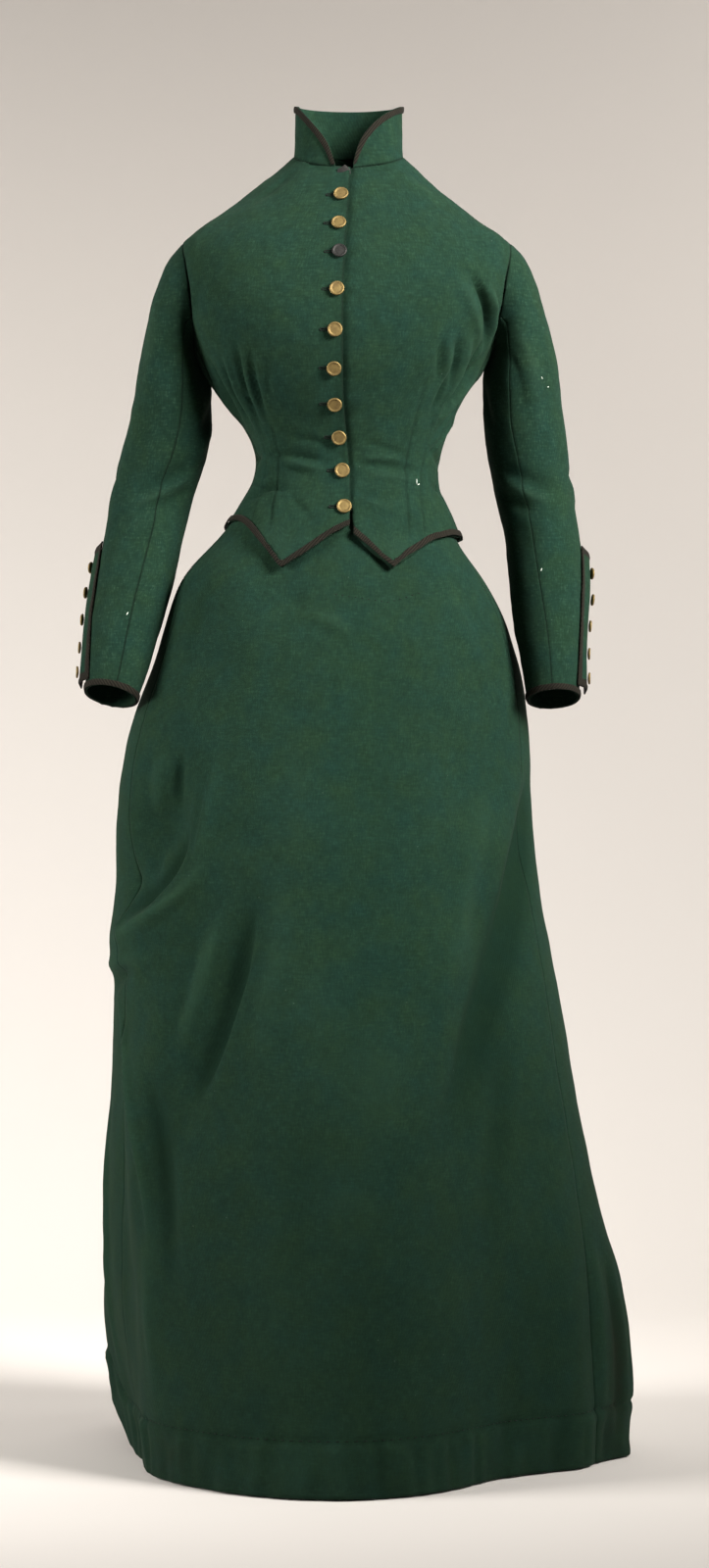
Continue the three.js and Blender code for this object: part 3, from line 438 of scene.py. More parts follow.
def wool_material(name, wear_and_highlight):
    """Fulled wool twill: dyed in the piece, milled until the surface felts over the weave, and so
    matt and soft-edged. It fades on its ridges, which also carry a painted highlight, is painted
    darker in its folds as painted shade, and holds lint."""
    wool = new_material(name)
    weave = add(wool, "ShaderNodeUVMap", {}, uv_map="weave").outputs["UV"]
    place = add(wool, "ShaderNodeTexCoord", {}).outputs["Object"]
    # slow clouds of dye, and smaller ones of felt, where the milling closed the surface unevenly
    clouds = {}
    for cloud, scale, detail, rough in (("dye", 26.0, 5.0, 0.62), ("felt", 75.0, 4.0, 0.7)):
        sockets = {"Vector": place, "Scale": scale, "Detail": detail, "Roughness": rough}
        clouds[cloud] = add(wool, "ShaderNodeTexNoise", sockets).outputs["Fac"]
    # yarns 0.5 mm apart are drawn 1.6 and 2.4 mm apart, the finest that still shows in the render
    yarns = []
    for drawn in ((620.0, 120.0, 1.0), (110.0, 420.0, 1.0)):
        way = add(wool, "ShaderNodeMapping", {"Vector": weave, "Scale": drawn}).outputs["Vector"]
        sockets = {"Vector": way, "Scale": 1.0, "Detail": 3.0, "Roughness": 0.65}
        yarns.append(add(wool, "ShaderNodeTexNoise", sockets).outputs["Fac"])
    crossed = add(wool, "ShaderNodeMath", {0: yarns[0], 1: yarns[1]}, operation="ADD").outputs[0]
    lint = add(wool, "ShaderNodeTexVoronoi", {"Vector": place, "Scale": 34.0}).outputs["Distance"]
    fold, seam, soil = (
        add(wool, "ShaderNodeAttribute", {}, attribute_name=kept).outputs["Fac"]
        for kept in ("fold", "seam", "soil")
    )

    colour = linear("#172f26")
    # what is laid over the dyed cloth, one on another, and where it starts, is fullest and how full
    layers = [
        # a second dye, unevenly taken, and the felt's shade
        {"by": clouds["dye"], "from": 0.34, "to": 0.66, "first": 0, "last": 1, "colour": "#1c3121"},
        {"by": clouds["felt"], "from": 0.3, "to": 0.64, "first": 0.45, "last": 0, "colour": "#102219"},
        # gaps between the yarns, and yarns that stand up and are rubbed pale
        {"by": crossed, "from": 0.72, "to": 1.24, "first": 0.5, "last": 0, "colour": "#0a1610"},
        {"by": crossed, "from": 1.08, "to": 1.42, "first": 0, "last": 0.25, "colour": wear_and_highlight},
        # ridges painted lighter, a painted highlight with some fading, and folds painted darker, a painted
        # shade
        {"by": fold, "from": 0.4, "to": 7.0, "first": 0, "last": 0.2, "colour": wear_and_highlight},
        {"by": fold, "from": -0.4, "to": -9.0, "first": 0, "last": 0.62, "colour": "#0a1c12"},
        # road dirt; painted shade, with some dust and wear, beside seams, in the darts, under the closing's
        # edge, at the collar's foot and towards the skirt's hem; and a pale fibre end here and there
        {"by": soil, "from": 0, "to": 1, "first": 0, "last": 1, "colour": "#191911"},
        {"by": seam, "from": 0, "to": 1, "first": 0, "last": 1, "colour": "#09140d"},
        {"by": lint, "from": 0.024, "to": 0.014, "first": 0, "last": 0.22, "colour": "#6f8576"},
    ]
    for layer in layers:
        spread = {"Value": layer["by"], "From Min": layer["from"], "From Max": layer["to"]}
        spread.update({"To Min": layer["first"], "To Max": layer["last"]})
        amount = add(wool, "ShaderNodeMapRange", spread).outputs["Result"]
        sockets = {0: amount, 6: colour, 7: linear(layer["colour"])}
        colour = add(wool, "ShaderNodeMix", sockets, data_type="RGBA").outputs[2]
    # the twill's lines are drawn 3.2 mm apart and its nap 1.1 mm, as fine as still shows
    slanted = {"Vector": weave, "Scale": (625.0, 625.0, 1.0), "Rotation": (0, 0, math.radians(27))}
    twill_way = add(wool, "ShaderNodeMapping", slanted).outputs["Vector"]
    twill = add(
        wool, "ShaderNodeTexWave", {"Vector": twill_way, "Scale": 0.159, "Distortion": 1.2, "Detail": 2.0}
    )
    nap = add(wool, "ShaderNodeTexNoise", {"Vector": place, "Scale": 900.0, "Detail": 2.0})
    relief = add(
        wool, "ShaderNodeMix", {0: 0.62, 2: twill.outputs["Fac"], 3: nap.outputs["Fac"]}, data_type="FLOAT"
    )
    raised = add(
        wool, "ShaderNodeBump", {"Height": relief.outputs[0], "Strength": 0.5, "Distance": 0.35 * mm}
    )
    shader = add(
        wool,
        "ShaderNodeBsdfPrincipled",
        {
            "Base Color": colour,
            "Roughness": 0.94,
            "Specular IOR Level": 0.05,
            "Sheen Weight": 0.05,
            "Sheen Roughness": 0.5,
            "Sheen Tint": linear("#86ab8f"),
            "Normal": raised.outputs["Normal"],
        },
    )
    return finish_material(wool, shader)


skirt_wool = wool_material("fulled_green_wool_twill_skirt", "#2d4736")

# The skirt's folds, in the order of fold_columns.
skirt_folds = [
    # at the knee pocket: its crest and hollow, the trough below it and the ridges beside that
    ((-47, -285), (-45, -375), (-51, -450), 7, 3, 0.3),
    ((-45, -410), (-53, -480), (-88, -506), 7, 5.5),
    ((-53, -370), (-57, -450), (-82, -478), 11, -9.5),
    ((-58, -296), (-62, -325), (-61, -372), 6, -4),
    ((-66, -296), (-69, -330), (-67, -380), 7, 3),
    ((-28, -425), (-33, -590), (-47, -686), 13, -10, -0.35),
    ((-19, -420), (-23, -560), (-28, -700), 13, 2.2),
    ((-40, -450), (-46, -545), (-53, -650), 10, 6),
    ((-68, -520), (-82, -552), (-98, -562), 10, -4.5),
    ((-58, -516), (-78, -532), (-104, -534), 8, 3),
    # the crease along the front panel's right edge
    ((-90, -545), (-62, -690), (-52, -860), 6, 5.5, 0.3),
    ((-58, -780), (-52, -900), (-50, -1010), 12, 2.5),
    ((-66, -600), (-49, -750), (-44, -900), 13, -5.5),
    # soft runs down the left of the front
    ((90, -300), (72, -410), (18, -760), 23, -11, 0.3),
    ((58, -300), (46, -450), (22, -640), 16, 2),
    ((60, -560), (48, -700), (40, -880), 18, -3),
    ((16, -520), (6, -680), (-4, -900), 26, 2),
    ((-14, -620), (-10, -760), (-12, -940), 22, -1.8),
    # pulls below the basque
    ((-26, -146), (-10, -157), (4, -182), 7, 4, 0.4),
    ((-34, -128), (-20, -148), (-4, -158), 7, -2.5),
    ((-10, -129), (12, -134), (42, -139), 2.4, -1.4, 0, 0.15),
    ((48, -128), (56, -170), (66, -240), 10, 1.6),
    ((-62, -110), (-68, -160), (-64, -230), 11, -2),
    # the flutes by the left seam
    ((81, -820), (82, -920), (80, -1068), 9, 3, 0, 0.25),
    ((86, -840), (88, -950), (86, -1060), 9, -4, 0, 0.25),
    ((94, -820), (95, -940), (94, -1066), 8, 3, 0, 0.25),
    # the sides and the back, where the fullness falls
    ((104, -260), (108, -520), (110, -960), 15, -5),
    ((126, -180), (128, -520), (129, -1000), 12, -5),
    ((145, -140), (147, -520), (146, -1010), 11, 4),
    ((163, -120), (164, -460), (162, -960), 12, -6, 0.3),
    ((181, -110), (180, -420), (182, -960), 11, 5),
    ((199, -120), (200, -520), (198, -950), 13, -6, -0.3),
    ((217, -160), (218, -520), (216, -940), 12, 5),
    ((234, -260), (236, -620), (234, -930), 12, -5),
    ((249, -560), (251, -760), (250, -980), 9, -4),
    ((262, -620), (264, -800), (266, -1030), 9, 4),
]

skirt_panels = [
    {"node": "skirt_front", "grain": 0, "flat": (0.80, 1.10), "area": 0.63},
    {"node": "skirt_left_side", "grain": 114, "flat": (0.44, 1.09), "area": 0.325},
    {"node": "skirt_back", "grain": 180, "flat": (0.42, 1.05), "area": 0.277},
    {"node": "skirt_right_side", "grain": 246, "flat": (0.42, 1.09), "area": 0.325},
]

# how high the skirt's edge is, by the degree
hem_points = {}
for panel in skirt_panels:
    for vertex in nodes[panel["node"]].data.vertices:
        turn = round(math.degrees(math.atan2(vertex.co.x, -vertex.co.y)))
        hem_points[turn] = min(hem_points.get(turn, 0.0), vertex.co.z / mm)
lowest_seam = -900  # an angle whose lowest point is above this has no point of the edge
hem_turns = sorted(turn for turn in hem_points if hem_points[turn] < lowest_seam)


def hem_height(angle):
    """The height of the skirt's edge at an angle."""
    return np.interp(angle, hem_turns, [hem_points[turn] for turn in hem_turns], period=360)


# soil: road dirt worn in beside the left seam, and a little all along the edge
soil_marks = [
    {"angle": 87, "height": -960, "wide": 16, "tall": 60, "depth": 0.8},
    {"angle": 84, "height": -1025, "wide": 30, "tall": 30, "depth": 0.45},
    {"angle": -44, "height": -1040, "wide": 40, "tall": 25, "depth": 0.3},
]

# The turned-up hem: its stitches draw a groove over its inner edge, with a ridge below, and pucker it.
hem_groove = {"depth": 2.2, "width": 3}
hem_ridge = {"lift": 0.9, "width": 6, "below": 10}
hem_pucker = {"lift": 5.0, "size": 19, "upright": 0.22, "seed": 3, "past": 8}
hem_start = -0.94  # below this the edge is the hem's, and no seam

# The free cloth below the basque, its seams, how strongly its folds are painted light and dark, and the
# painted shade that darkens it towards the ground.
skirt_fold_depth, skirt_fold_mark = 1.3, 1.35
skirt_slack = [(2.4, 90, 1), (0.8, 30, 2)]
skirt_free = {"start": -80, "reach": 120}
skirt_seam = {"depth": 0.4, "width": 2.4, "shade": 0.22}
ground_shade = {"start": -420, "reach": 500, "depth": 0.34}
splash = {"reach": 30, "depth": 0.12}

for panel in skirt_panels:
    piece = outer_cloth(panel["node"])
    at = places(piece)
    up = at["height"] - hem_height(at["angle"])
    free = eased((skirt_free["start"] - at["height"]) / skirt_free["reach"])
    lift = skirt_fold_depth * fold_lift(at, skirt_folds) + free * slack_lift(at, skirt_slack)
    upright = {"point": at["point"] * (1, 1, hem_pucker["upright"])}
    past = hem_pucker["past"]
    turned_up = eased((up + past) / (2 * past)) * eased((hem_depth + past - up) / (2 * past + 2))
    lift += hem_pucker["lift"] * uneven(upright, hem_pucker["size"], hem_pucker["seed"]) * turned_up
    lift -= hem_groove["depth"] * hump(up - hem_depth, hem_groove["width"])
    lift += hem_ridge["lift"] * hump(up - hem_depth + hem_ridge["below"], hem_ridge["width"])
    rim = rim_distance(piece, lambda spot: spot.z > hem_start)
    lift -= skirt_seam["depth"] * hump(rim, skirt_seam["width"])
    lift_cloth(piece, lift)
    # painted shade, darker towards the ground
    ground_shaded = ground_shade["depth"] * eased((ground_shade["start"] - at["height"]) / ground_shade["reach"])
    soil = splash["depth"] * eased((splash["reach"] - up) / splash["reach"])
    for spot in soil_marks:
        side = np.radians(wrap(at["angle"] - spot["angle"])) * at["reach"]
        soil += spot["depth"] * hump(side, spot["wide"]) * hump(at["height"] - spot["height"], spot["tall"])
    soil = np.clip(soil * (0.75 + 0.5 * uneven(at, 12, 4)), 0, 1)
    shade = np.maximum(seam_shade(rim, depth=skirt_seam["shade"]), ground_shaded)
    mark(piece, fold=lift * skirt_fold_mark, seam=shade, soil=soil)
    lay_weave(piece, at, panel["grain"])
    piece.data.materials.append(skirt_wool)
    thicken(piece)
    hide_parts(panel["node"])
    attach(piece, "root")
    panel["piece"] = piece
close_seams([panel["piece"] for panel in skirt_panels])

# The waistband: a straight strip of the same wool round the top of the skirt.
band = outer_cloth("skirt_waistband", levels=1)
at = places(band)
mark(band)
lay_weave(band, at, 0)
band.data.materials.append(skirt_wool)
thicken(band, doubled_thickness)
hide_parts("skirt_waistband")
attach(band, "root")


def surface_of(pieces):
    """A tree of the pieces' faces as they are now, to lay small things on."""
    points, faces = [], []
    for piece in pieces:
        first = len(points)
        points += [v.co.copy() for v in piece.data.vertices]
        faces += [[first + i for i in face.vertices] for face in piece.data.polygons]
    return BVHTree.FromPolygons(points, faces)


well_outside = 0.8  # metres from the middle, past all the cloth


def on_surface(tree, angle, height):
    """The point and outward direction of a surface at an angle and height round the body."""
    out = Vector((math.sin(math.radians(angle)), -math.cos(math.radians(angle)), 0))
    start = Vector((*body_middle, height * mm)) + out * well_outside
    point, normal, _, _ = tree.ray_cast(start, -out)
    if point is None:
        return None, None
    return point, normal if normal.dot(out) > 0 else -normal


def seated(point, out, along):
    """A matrix that sets a thing on a surface: its X runs along, its Z stands out."""
    side = out.cross(along).normalized()
    return Matrix.Translation(point) @ Matrix((side.cross(out), side, out)).transposed().to_4x4()


# Sewing silk: glossy three-ply thread in a darker green than the cloth.
silk = new_material("green_sewing_silk")
silk_place = add(silk, "ShaderNodeTexCoord", {}).outputs["Object"]
silk_twist = add(silk, "ShaderNodeTexWave", {"Vector": silk_place, "Scale": 900.0}).outputs["Fac"]
silk_colour = add(
    silk, "ShaderNodeMix", {0: silk_twist, 6: linear("#080d0a"), 7: linear("#111a14")}, data_type="RGBA"
)
silk_shader = add(
    silk,
    "ShaderNodeBsdfPrincipled",
    {"Base Color": silk_colour.outputs[2], "Roughness": 0.7, "Specular IOR Level": 0.12},
)
finish_material(silk, silk_shader)

skirt_surface = surface_of([panel["piece"] for panel in skirt_panels])


def add_stitch(bm, turn, height, size):
    """A stitch that lies level on the skirt. size: half its length, width and thickness, in mm."""
    point, out = on_surface(skirt_surface, turn, height)
    if point is None:
        return
    level = Vector((math.cos(math.radians(turn)), math.sin(math.radians(turn)), 0))
    stitch = bmesh.ops.create_icosphere(bm, subdivisions=1, radius=1)["verts"]
    drawn_out = Matrix.Diagonal([half * mm for half in size] + [1])
    bmesh.ops.transform(bm, matrix=seated(point, out, level) @ drawn_out, verts=stitch)


# The hem is caught down with one row of short running stitches.
hem_stitch = (2.6, 0.6, 0.5)
skirt_reach = 250.0  # mm from the middle to the edge, on the whole
stitch_turn = math.degrees(stitch_pitch / skirt_reach)
bm = bmesh.new()
for turn in np.arange(-180, 180, stitch_turn):
    add_stitch(bm, turn, hem_height(turn) + hem_depth, hem_stitch)
hem_stitches = add_object("hem_stitches", bm)
hem_stitches.data.materials.append(silk)
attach(hem_stitches, "root")

# A short row of darker stitches is left in the front, just below the bodice.
tuck_line = [
    {"angle": -6, "height": -133.5},
    {"angle": 11, "height": -139},
    {"angle": 19, "height": -141.5},
    {"angle": 35, "height": -131},
]
tuck_turn = 3.1  # degrees from stitch to stitch
tuck_stitch = (1.5, 0.5, 0.4)


def from_table(table, column, angle):
    """A column of a table at each angle, between its rows."""
    return np.interp(angle, [row["angle"] for row in table], [row[column] for row in table])


bm = bmesh.new()
for turn in np.arange(tuck_line[0]["angle"], tuck_line[-1]["angle"], tuck_turn):
    add_stitch(bm, turn, from_table(tuck_line, "height", turn), tuck_stitch)
tuck_stitches = add_object("tuck_stitches", bm)
tuck_stitches.data.materials.append(silk)
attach(tuck_stitches, "root")


# ---------- Bodice ----------
# The fitted bodice: two fronts with two darts each, two side bodies, two side backs and two backs,
# of the same wool and sewn edge to edge. The right front laps over the left, and its edge casts a
# shadow, deepened by a painted shadow on the cloth beside it. The cloth gathers over the bust,
# breaks at the waist and pulls at the armholes.
bodice_wool = wool_material("fulled_green_wool_twill_bodice", "#344e3d")

# The bodice's folds, in the order of fold_columns.
bodice_folds = [
    # gathers over the darts
    ((-51, 152), (-56, 100), (-61, 38), 4.2, -4.2, 0.3),
    ((-45, 140), (-49, 98), (-53, 44), 3, -3.4, 0.3),
    ((-38, 126), (-41, 100), (-44, 72), 2.6, -1.5),
    ((-48, 152), (-52, 104), (-57, 50), 3.6, 2.6),
    ((-42, 136), (-45, 104), (-49, 60), 2.8, 1.5),
    ((-63, 130), (-66, 92), (-69, 40), 5, -3.6),
    ((-59, 140), (-62, 96), (-65, 48), 4, 2.4),
    ((-74, 132), (-70, 92), (-77, 52), 4.5, -3.4, -0.3),
    ((-84, 118), (-78, 84), (-82, 44), 5, 2.6),
    ((43, 148), (46, 118), (50, 90), 3.6, -3.6, -0.3),
    ((50, 154), (58, 120), (58, 86), 3.8, -4.6, -0.3),
    ((46, 150), (52, 118), (55, 88), 3.4, 2.4),
    ((57, 152), (63, 122), (62, 92), 4, 2.6),
    ((68, 150), (69, 122), (66, 92), 4, -3.2),
    ((76, 140), (68, 96), (52, 52), 4.5, -3.6, 0.3),
    ((84, 126), (74, 88), (60, 46), 5, 2.6),
    # pulls at the front of the left armhole
    ((53, 224), (62, 186), (77, 128), 4.6, -7, -0.35),
    ((62, 206), (69, 176), (79, 134), 4, 3.6),
    ((48, 210), (56, 176), (70, 124), 4.6, 2.6),
    # the fullness under the arms, which meets the sleeves
    ((84, 176), (88, 128), (86, 84), 15, 3),
    ((-84, 170), (-88, 120), (-86, 70), 15, 3.4),
    ((-66, 216), (-69, 190), (-76, 158), 8, -1.8),
    ((52, 128), (56, 92), (50, 50), 3.2, -3),
    ((62, 118), (62, 84), (55, 44), 3.4, 2.6),
    ((84, 96), (72, 62), (58, 34), 3.6, -2.8),
    ((88, 74), (76, 44), (62, 22), 3.6, 2.4),
    ((80, 60), (68, 30), (56, 14), 3, -2.2),
    # breaks at the waist
    ((-80, -26), (-60, -10), (-46, 6), 3, 2),
    ((-74, -32), (-56, -19), (-40, -4), 3, -2),
    ((-54, 15), (-40, 7), (-22, -8), 2.8, -1.8),
    ((-40, -20), (-30, -36), (-18, -52), 4, -1.4),
    ((3, 17), (26, 13), (48, 19), 2.4, 1.6),
    ((4, -22), (20, -30), (36, -22), 3.2, -1.5),
    ((5, -33), (20, -40), (34, -34), 3.2, 1.2),
    ((-66, 20), (-38, 24), (-6, 4), 3, -2.6, 0.3),
    ((-62, 10), (-36, 14), (-12, -2), 3, 2),
    ((-76, -6), (-54, -16), (-34, -20), 3, -2.4),
    ((-46, 40), (-22, 34), (-5, 26), 3, -1.6),
    ((2, 8), (28, 8), (60, 2), 3, -2.6, -0.3),
    ((6, -3), (30, -4), (58, -9), 3, 1.8),
    ((6, 32), (28, 27), (50, 10), 3, -1.8),
    ((58, 30), (74, 12), (98, 8), 4, -2.6),
    ((-96, 24), (-80, 14), (-64, 22), 4, -2.6),
    ((60, -8), (76, -18), (94, -14), 4, -2.4),
    # the collar seam and the shoulders
    ((-14, 326), (-34, 330), (-58, 338), 4, -1.2),
    ((16, 326), (36, 330), (58, 338), 4, -1.2),
    ((-58, 334), (-62, 312), (-66, 286), 6, -1.6),
    ((56, 334), (60, 314), (64, 290), 6, 1.4),
    # the back: the hollow between the shoulders and breaks at the waist
    ((168, 22), (150, 12), (126, 20), 4, -1.8),
    ((-168, 26), (-148, 14), (-122, 18), 4, -1.8),
    ((174, -6), (154, -14), (130, -8), 4, -1.5),
    ((-174, -4), (-152, -14), (-128, -6), 4, -1.5),
    ((118, 150), (126, 176), (128, 214), 8, -2.2),
    ((-118, 150), (-126, 176), (-128, 214), 8, -2.2),
]

# Darts: fine seams that end in a point over the bust.
darts = [
    ((-49.6, 62), (-51.5, -6), (-43, -74), 1.7, -1.0, 0, 0.12),
    ((-61, 60), (-65, -4), (-55, -66), 1.7, -0.4, 0, 0.12),
    ((41, 106), (44.5, 14), (34, -76), 1.7, -1.0, 0, 0.12),
    ((58, 34), (52, -18), (43.5, -70), 1.7, -0.7, 0, 0.12),
]

bodice_panels = [
    {"node": "bodice_right_front", "grain": -30, "flat": (0.25, 0.47), "area": 0.080},
    {"node": "bodice_left_front", "grain": 30, "flat": (0.27, 0.47), "area": 0.085},
    {"node": "bodice_right_side_body", "grain": -95, "flat": (0.09, 0.23), "area": 0.0125},
    {"node": "bodice_left_side_body", "grain": 95, "flat": (0.09, 0.23), "area": 0.0125},
    {"node": "bodice_right_side_back", "grain": -130, "flat": (0.11, 0.28), "area": 0.021},
    {"node": "bodice_left_side_back", "grain": 130, "flat": (0.11, 0.28), "area": 0.021},
    {"node": "bodice_right_back", "grain": -170, "flat": (0.23, 0.46), "area": 0.053},
    {"node": "bodice_left_back", "grain": 170, "flat": (0.23, 0.46), "area": 0.053},
]


bodice_fold_depth, bodice_fold_mark = 1.5, 1.3
bodice_slack = [(1.1, 40, 5), (0.5, 15, 6)]
basque_flare = {"start": -50, "reach": 45, "lift": 2.2}  # the basque springs out over the skirt


def bodice_lift(at):
    """How far the bodice's cloth is lifted at each place, apart from its seams."""
    flare = basque_flare["lift"] * eased((basque_flare["start"] - at["height"]) / basque_flare["reach"])
    return bodice_fold_depth * fold_lift(at, bodice_folds) + slack_lift(at, bodice_slack) + flare


# The points of the basque: how far its edge is drawn up, or down if below 0, at each angle.
basque_points = [
    {"angle": -81, "up": 0},
    {"angle": -74, "up": -0.5},
    {"angle": -65, "up": 2},
    {"angle": -56, "up": 5},
    {"angle": -40.4, "up": 9},
    {"angle": -33.4, "up": -2.5},
    {"angle": -27, "up": -2},
    {"angle": -8, "up": -5},
    {"angle": 1.5, "up": 10.5},
    {"angle": 2.3, "up": 4},
    {"angle": 10, "up": 5},
    {"angle": 18, "up": 2},
    {"angle": 22.5, "up": -4.5},
    {"angle": 25.5, "up": 1.5},
    {"angle": 31, "up": 1.5},
    {"angle": 40, "up": -2.5},
    {"angle": 56, "up": -4},
    {"angle": 66, "up": -1},
    {"angle": 79, "up": 0},
]
basque_slope = 0.45  # how fast the cloth runs inwards as it goes up there
basque_drawn = {"start": -15, "reach": 40}  # from where, down to its edge, the basque is drawn


def draw_basque(piece, at):
    """Draws the edge of the basque to its points, along the slope of the cloth."""
    up = from_table(basque_points, "up", at["angle"])
    up *= eased((basque_drawn["start"] - at["height"]) / basque_drawn["reach"])
    turn = np.radians(at["angle"])
    way = np.stack([-basque_slope * np.sin(turn), basque_slope * np.cos(turn), np.ones(len(turn))], 1)
    move_points(piece, way * up[:, None])


# The closing: the right front's edge stands off the left's, which lies in its shadow; that shadow is also
# painted on both fronts beside the edge, widest on the left front.
closing_side, closing_foot, closing_top = 14 * mm, -0.112, 0.326
closing_width, closing_reach, closing_shade = 4.5, 9, 0.9
closing_edges = {
    "bodice_right_front": {"lift": 2.2, "shadow": 0.5},
    "bodice_left_front": {"lift": -0.8, "shadow": 2.8},
}
seam_sink = {"depth": 0.55, "width": 1.8}  # how a seam draws the cloth in
seam_pucker = {"lift": 0.35, "size": 9, "width": 9, "level": 1.4, "seed": 7}
# painted shade in the darts' grooves, darker where they sink deeper
dart_shade = 0.42


def at_closing(spot):
    """Whether a place on the edge of a front is on the closing."""
    return abs(spot.x) < closing_side and closing_foot < spot.z < closing_top


for panel in bodice_panels:
    piece = outer_cloth(panel["node"])
    at = places(piece)
    dart_lift = fold_lift(at, darts)
    rim = rim_distance(piece)
    level = {"point": at["point"] * (1, 1, seam_pucker["level"])}
    puckered = seam_pucker["lift"] * uneven(level, seam_pucker["size"], seam_pucker["seed"])
    lift = bodice_lift(at) + dart_lift - seam_sink["depth"] * hump(rim, seam_sink["width"])
    lift += puckered * hump(rim, seam_pucker["width"])
    shade = np.maximum(seam_shade(rim), dart_shade * np.clip(-dart_lift, 0, 1))
    if panel["node"] in closing_edges:
        edge = closing_edges[panel["node"]]
        closing = rim_distance(piece, at_closing)
        lift += edge["lift"] * hump(closing, closing_width)
        # painted shadow beside the closing's edge
        shadow = seam_shade(closing, edge["shadow"], closing_shade)
        shade = np.where(closing < closing_reach, shadow, shade)
    lift_cloth(piece, lift)
    draw_basque(piece, at)
    mark(piece, fold=lift * bodice_fold_mark, seam=shade)
    lay_weave(piece, at, panel["grain"])
    piece.data.materials.append(bodice_wool)
    thicken(piece)
    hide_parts(panel["node"])
    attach(piece, "root")
    panel["piece"] = piece
close_seams(
    [panel["piece"] for panel in bodice_panels],
    apart=("bodice_right_front_cloth", "bodice_left_front_cloth"),
)


# ---------- Braid ----------
# Flat woven worsted braid, 6.5 mm wide, faded from black to brown, with slanting ribs. It is sewn
# along the edges of the basque, the collar and the cuffs, and rounds a little over the cloth's edge.
braid_wool = new_material("faded_worsted_braid")
braid_weave = add(braid_wool, "ShaderNodeUVMap", {}, uv_map="weave").outputs["UV"]
braid_place = add(braid_wool, "ShaderNodeTexCoord", {}).outputs["Object"]
faded = add(braid_wool, "ShaderNodeTexNoise", {"Vector": braid_place, "Scale": 60.0, "Detail": 3.0})
braid_colour = add(
    braid_wool,
    "ShaderNodeMix",
    {0: faded.outputs["Fac"], 6: linear("#15130d"), 7: linear("#27241b")},
    data_type="RGBA",
)
# ribs 1.3 mm apart are drawn 2.6 mm apart, the finest that still shows, and their crowns are worn
slanted = {"Vector": braid_weave, "Scale": (770.0, 770.0, 1.0), "Rotation": (0, 0, math.radians(40))}
ribs_way = add(braid_wool, "ShaderNodeMapping", slanted).outputs["Vector"]
ribs = add(braid_wool, "ShaderNodeTexWave", {"Vector": ribs_way, "Scale": 0.159, "Distortion": 0.8})
worn = add(
    braid_wool,
    "ShaderNodeMix",
    {0: ribs.outputs["Fac"], 6: linear("#0d0b08"), 7: braid_colour.outputs[2]},
    data_type="RGBA",
)
ribbed = add(
    braid_wool, "ShaderNodeBump", {"Height": ribs.outputs["Fac"], "Strength": 0.7, "Distance": 0.4 * mm}
)
braid_shader = add(
    braid_wool,
    "ShaderNodeBsdfPrincipled",
    {
        "Base Color": worn.outputs[2],
        "Roughness": 0.8,
        "Specular IOR Level": 0.08,
        "Sheen Weight": 0.02,
        "Normal": ribbed.outputs["Normal"],
    },
)
finish_material(braid_wool, braid_shader)
braid_thickness = 1.0 * mm
braid_round = {"lift": 0.5, "width": 1.6}  # how its middle stands above its edges


def make_braid(node, lift_under, middle=body_middle, side=1):
    """A braid over its node, rounded across its width and following the cloth under it."""
    piece = outer_cloth(node, middle)
    at = places(piece, middle, side)
    rim = rim_distance(piece)
    lift_cloth(piece, lift_under(at) + braid_round["lift"] * (1 - hump(rim, braid_round["width"])))
    if node.startswith("basque"):
        draw_basque(piece, at)
    lay_weave(piece, at, 0)
    piece.data.materials.append(braid_wool)
    thicken(piece, braid_thickness)
    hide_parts(node)
    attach(piece, "root")
    return piece


sewn_on = {
    "bodice_right_front": [make_braid("basque_braid_right_front", bodice_lift)],
    "bodice_left_front": [make_braid("basque_braid_left_front", bodice_lift)],
    "bodice_right_back": [make_braid("basque_braid_back", bodice_lift)],
}


# ---------- Collar ----------
# The standing collar: one strip of wool, cut away in front in a long curve and faced with itself,
# so the same cloth shows inside. Braid is sewn all along its top edge.
collar_slack = [(0.5, 30, 8), (0.2, 10, 9)]


def collar_lift(at):
    """How far the collar's cloth is lifted at each place."""
    return slack_lift(at, collar_slack)


neck_seam = [
    {"angle": 0, "height": 331},
    {"angle": 40, "height": 337},
    {"angle": 90, "height": 350},
    {"angle": 180, "height": 355},
]
# its lower edge reaches over the neck of the bodice, and painted shade darkens the cloth along its foot
collar_foot = {"drop": 1.6, "lift": 0.5, "width": 5, "shade": 0.5}
collar = outer_cloth("collar")
at = places(collar)
foot = hump(at["height"] - from_table(neck_seam, "height", abs(at["angle"])), collar_foot["width"])
lift = collar_lift(at) + collar_foot["lift"] * foot
lift_cloth(collar, lift)
move_points(collar, np.outer(foot, (0, 0, -collar_foot["drop"])))
mark(collar, fold=lift, seam=collar_foot["shade"] * foot**6)
lay_weave(collar, at, 180)
collar.data.materials.append(bodice_wool)
thicken(collar, doubled_thickness)
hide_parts("collar")
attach(collar, "root")
collar_braid = make_braid("collar_braid", collar_lift)


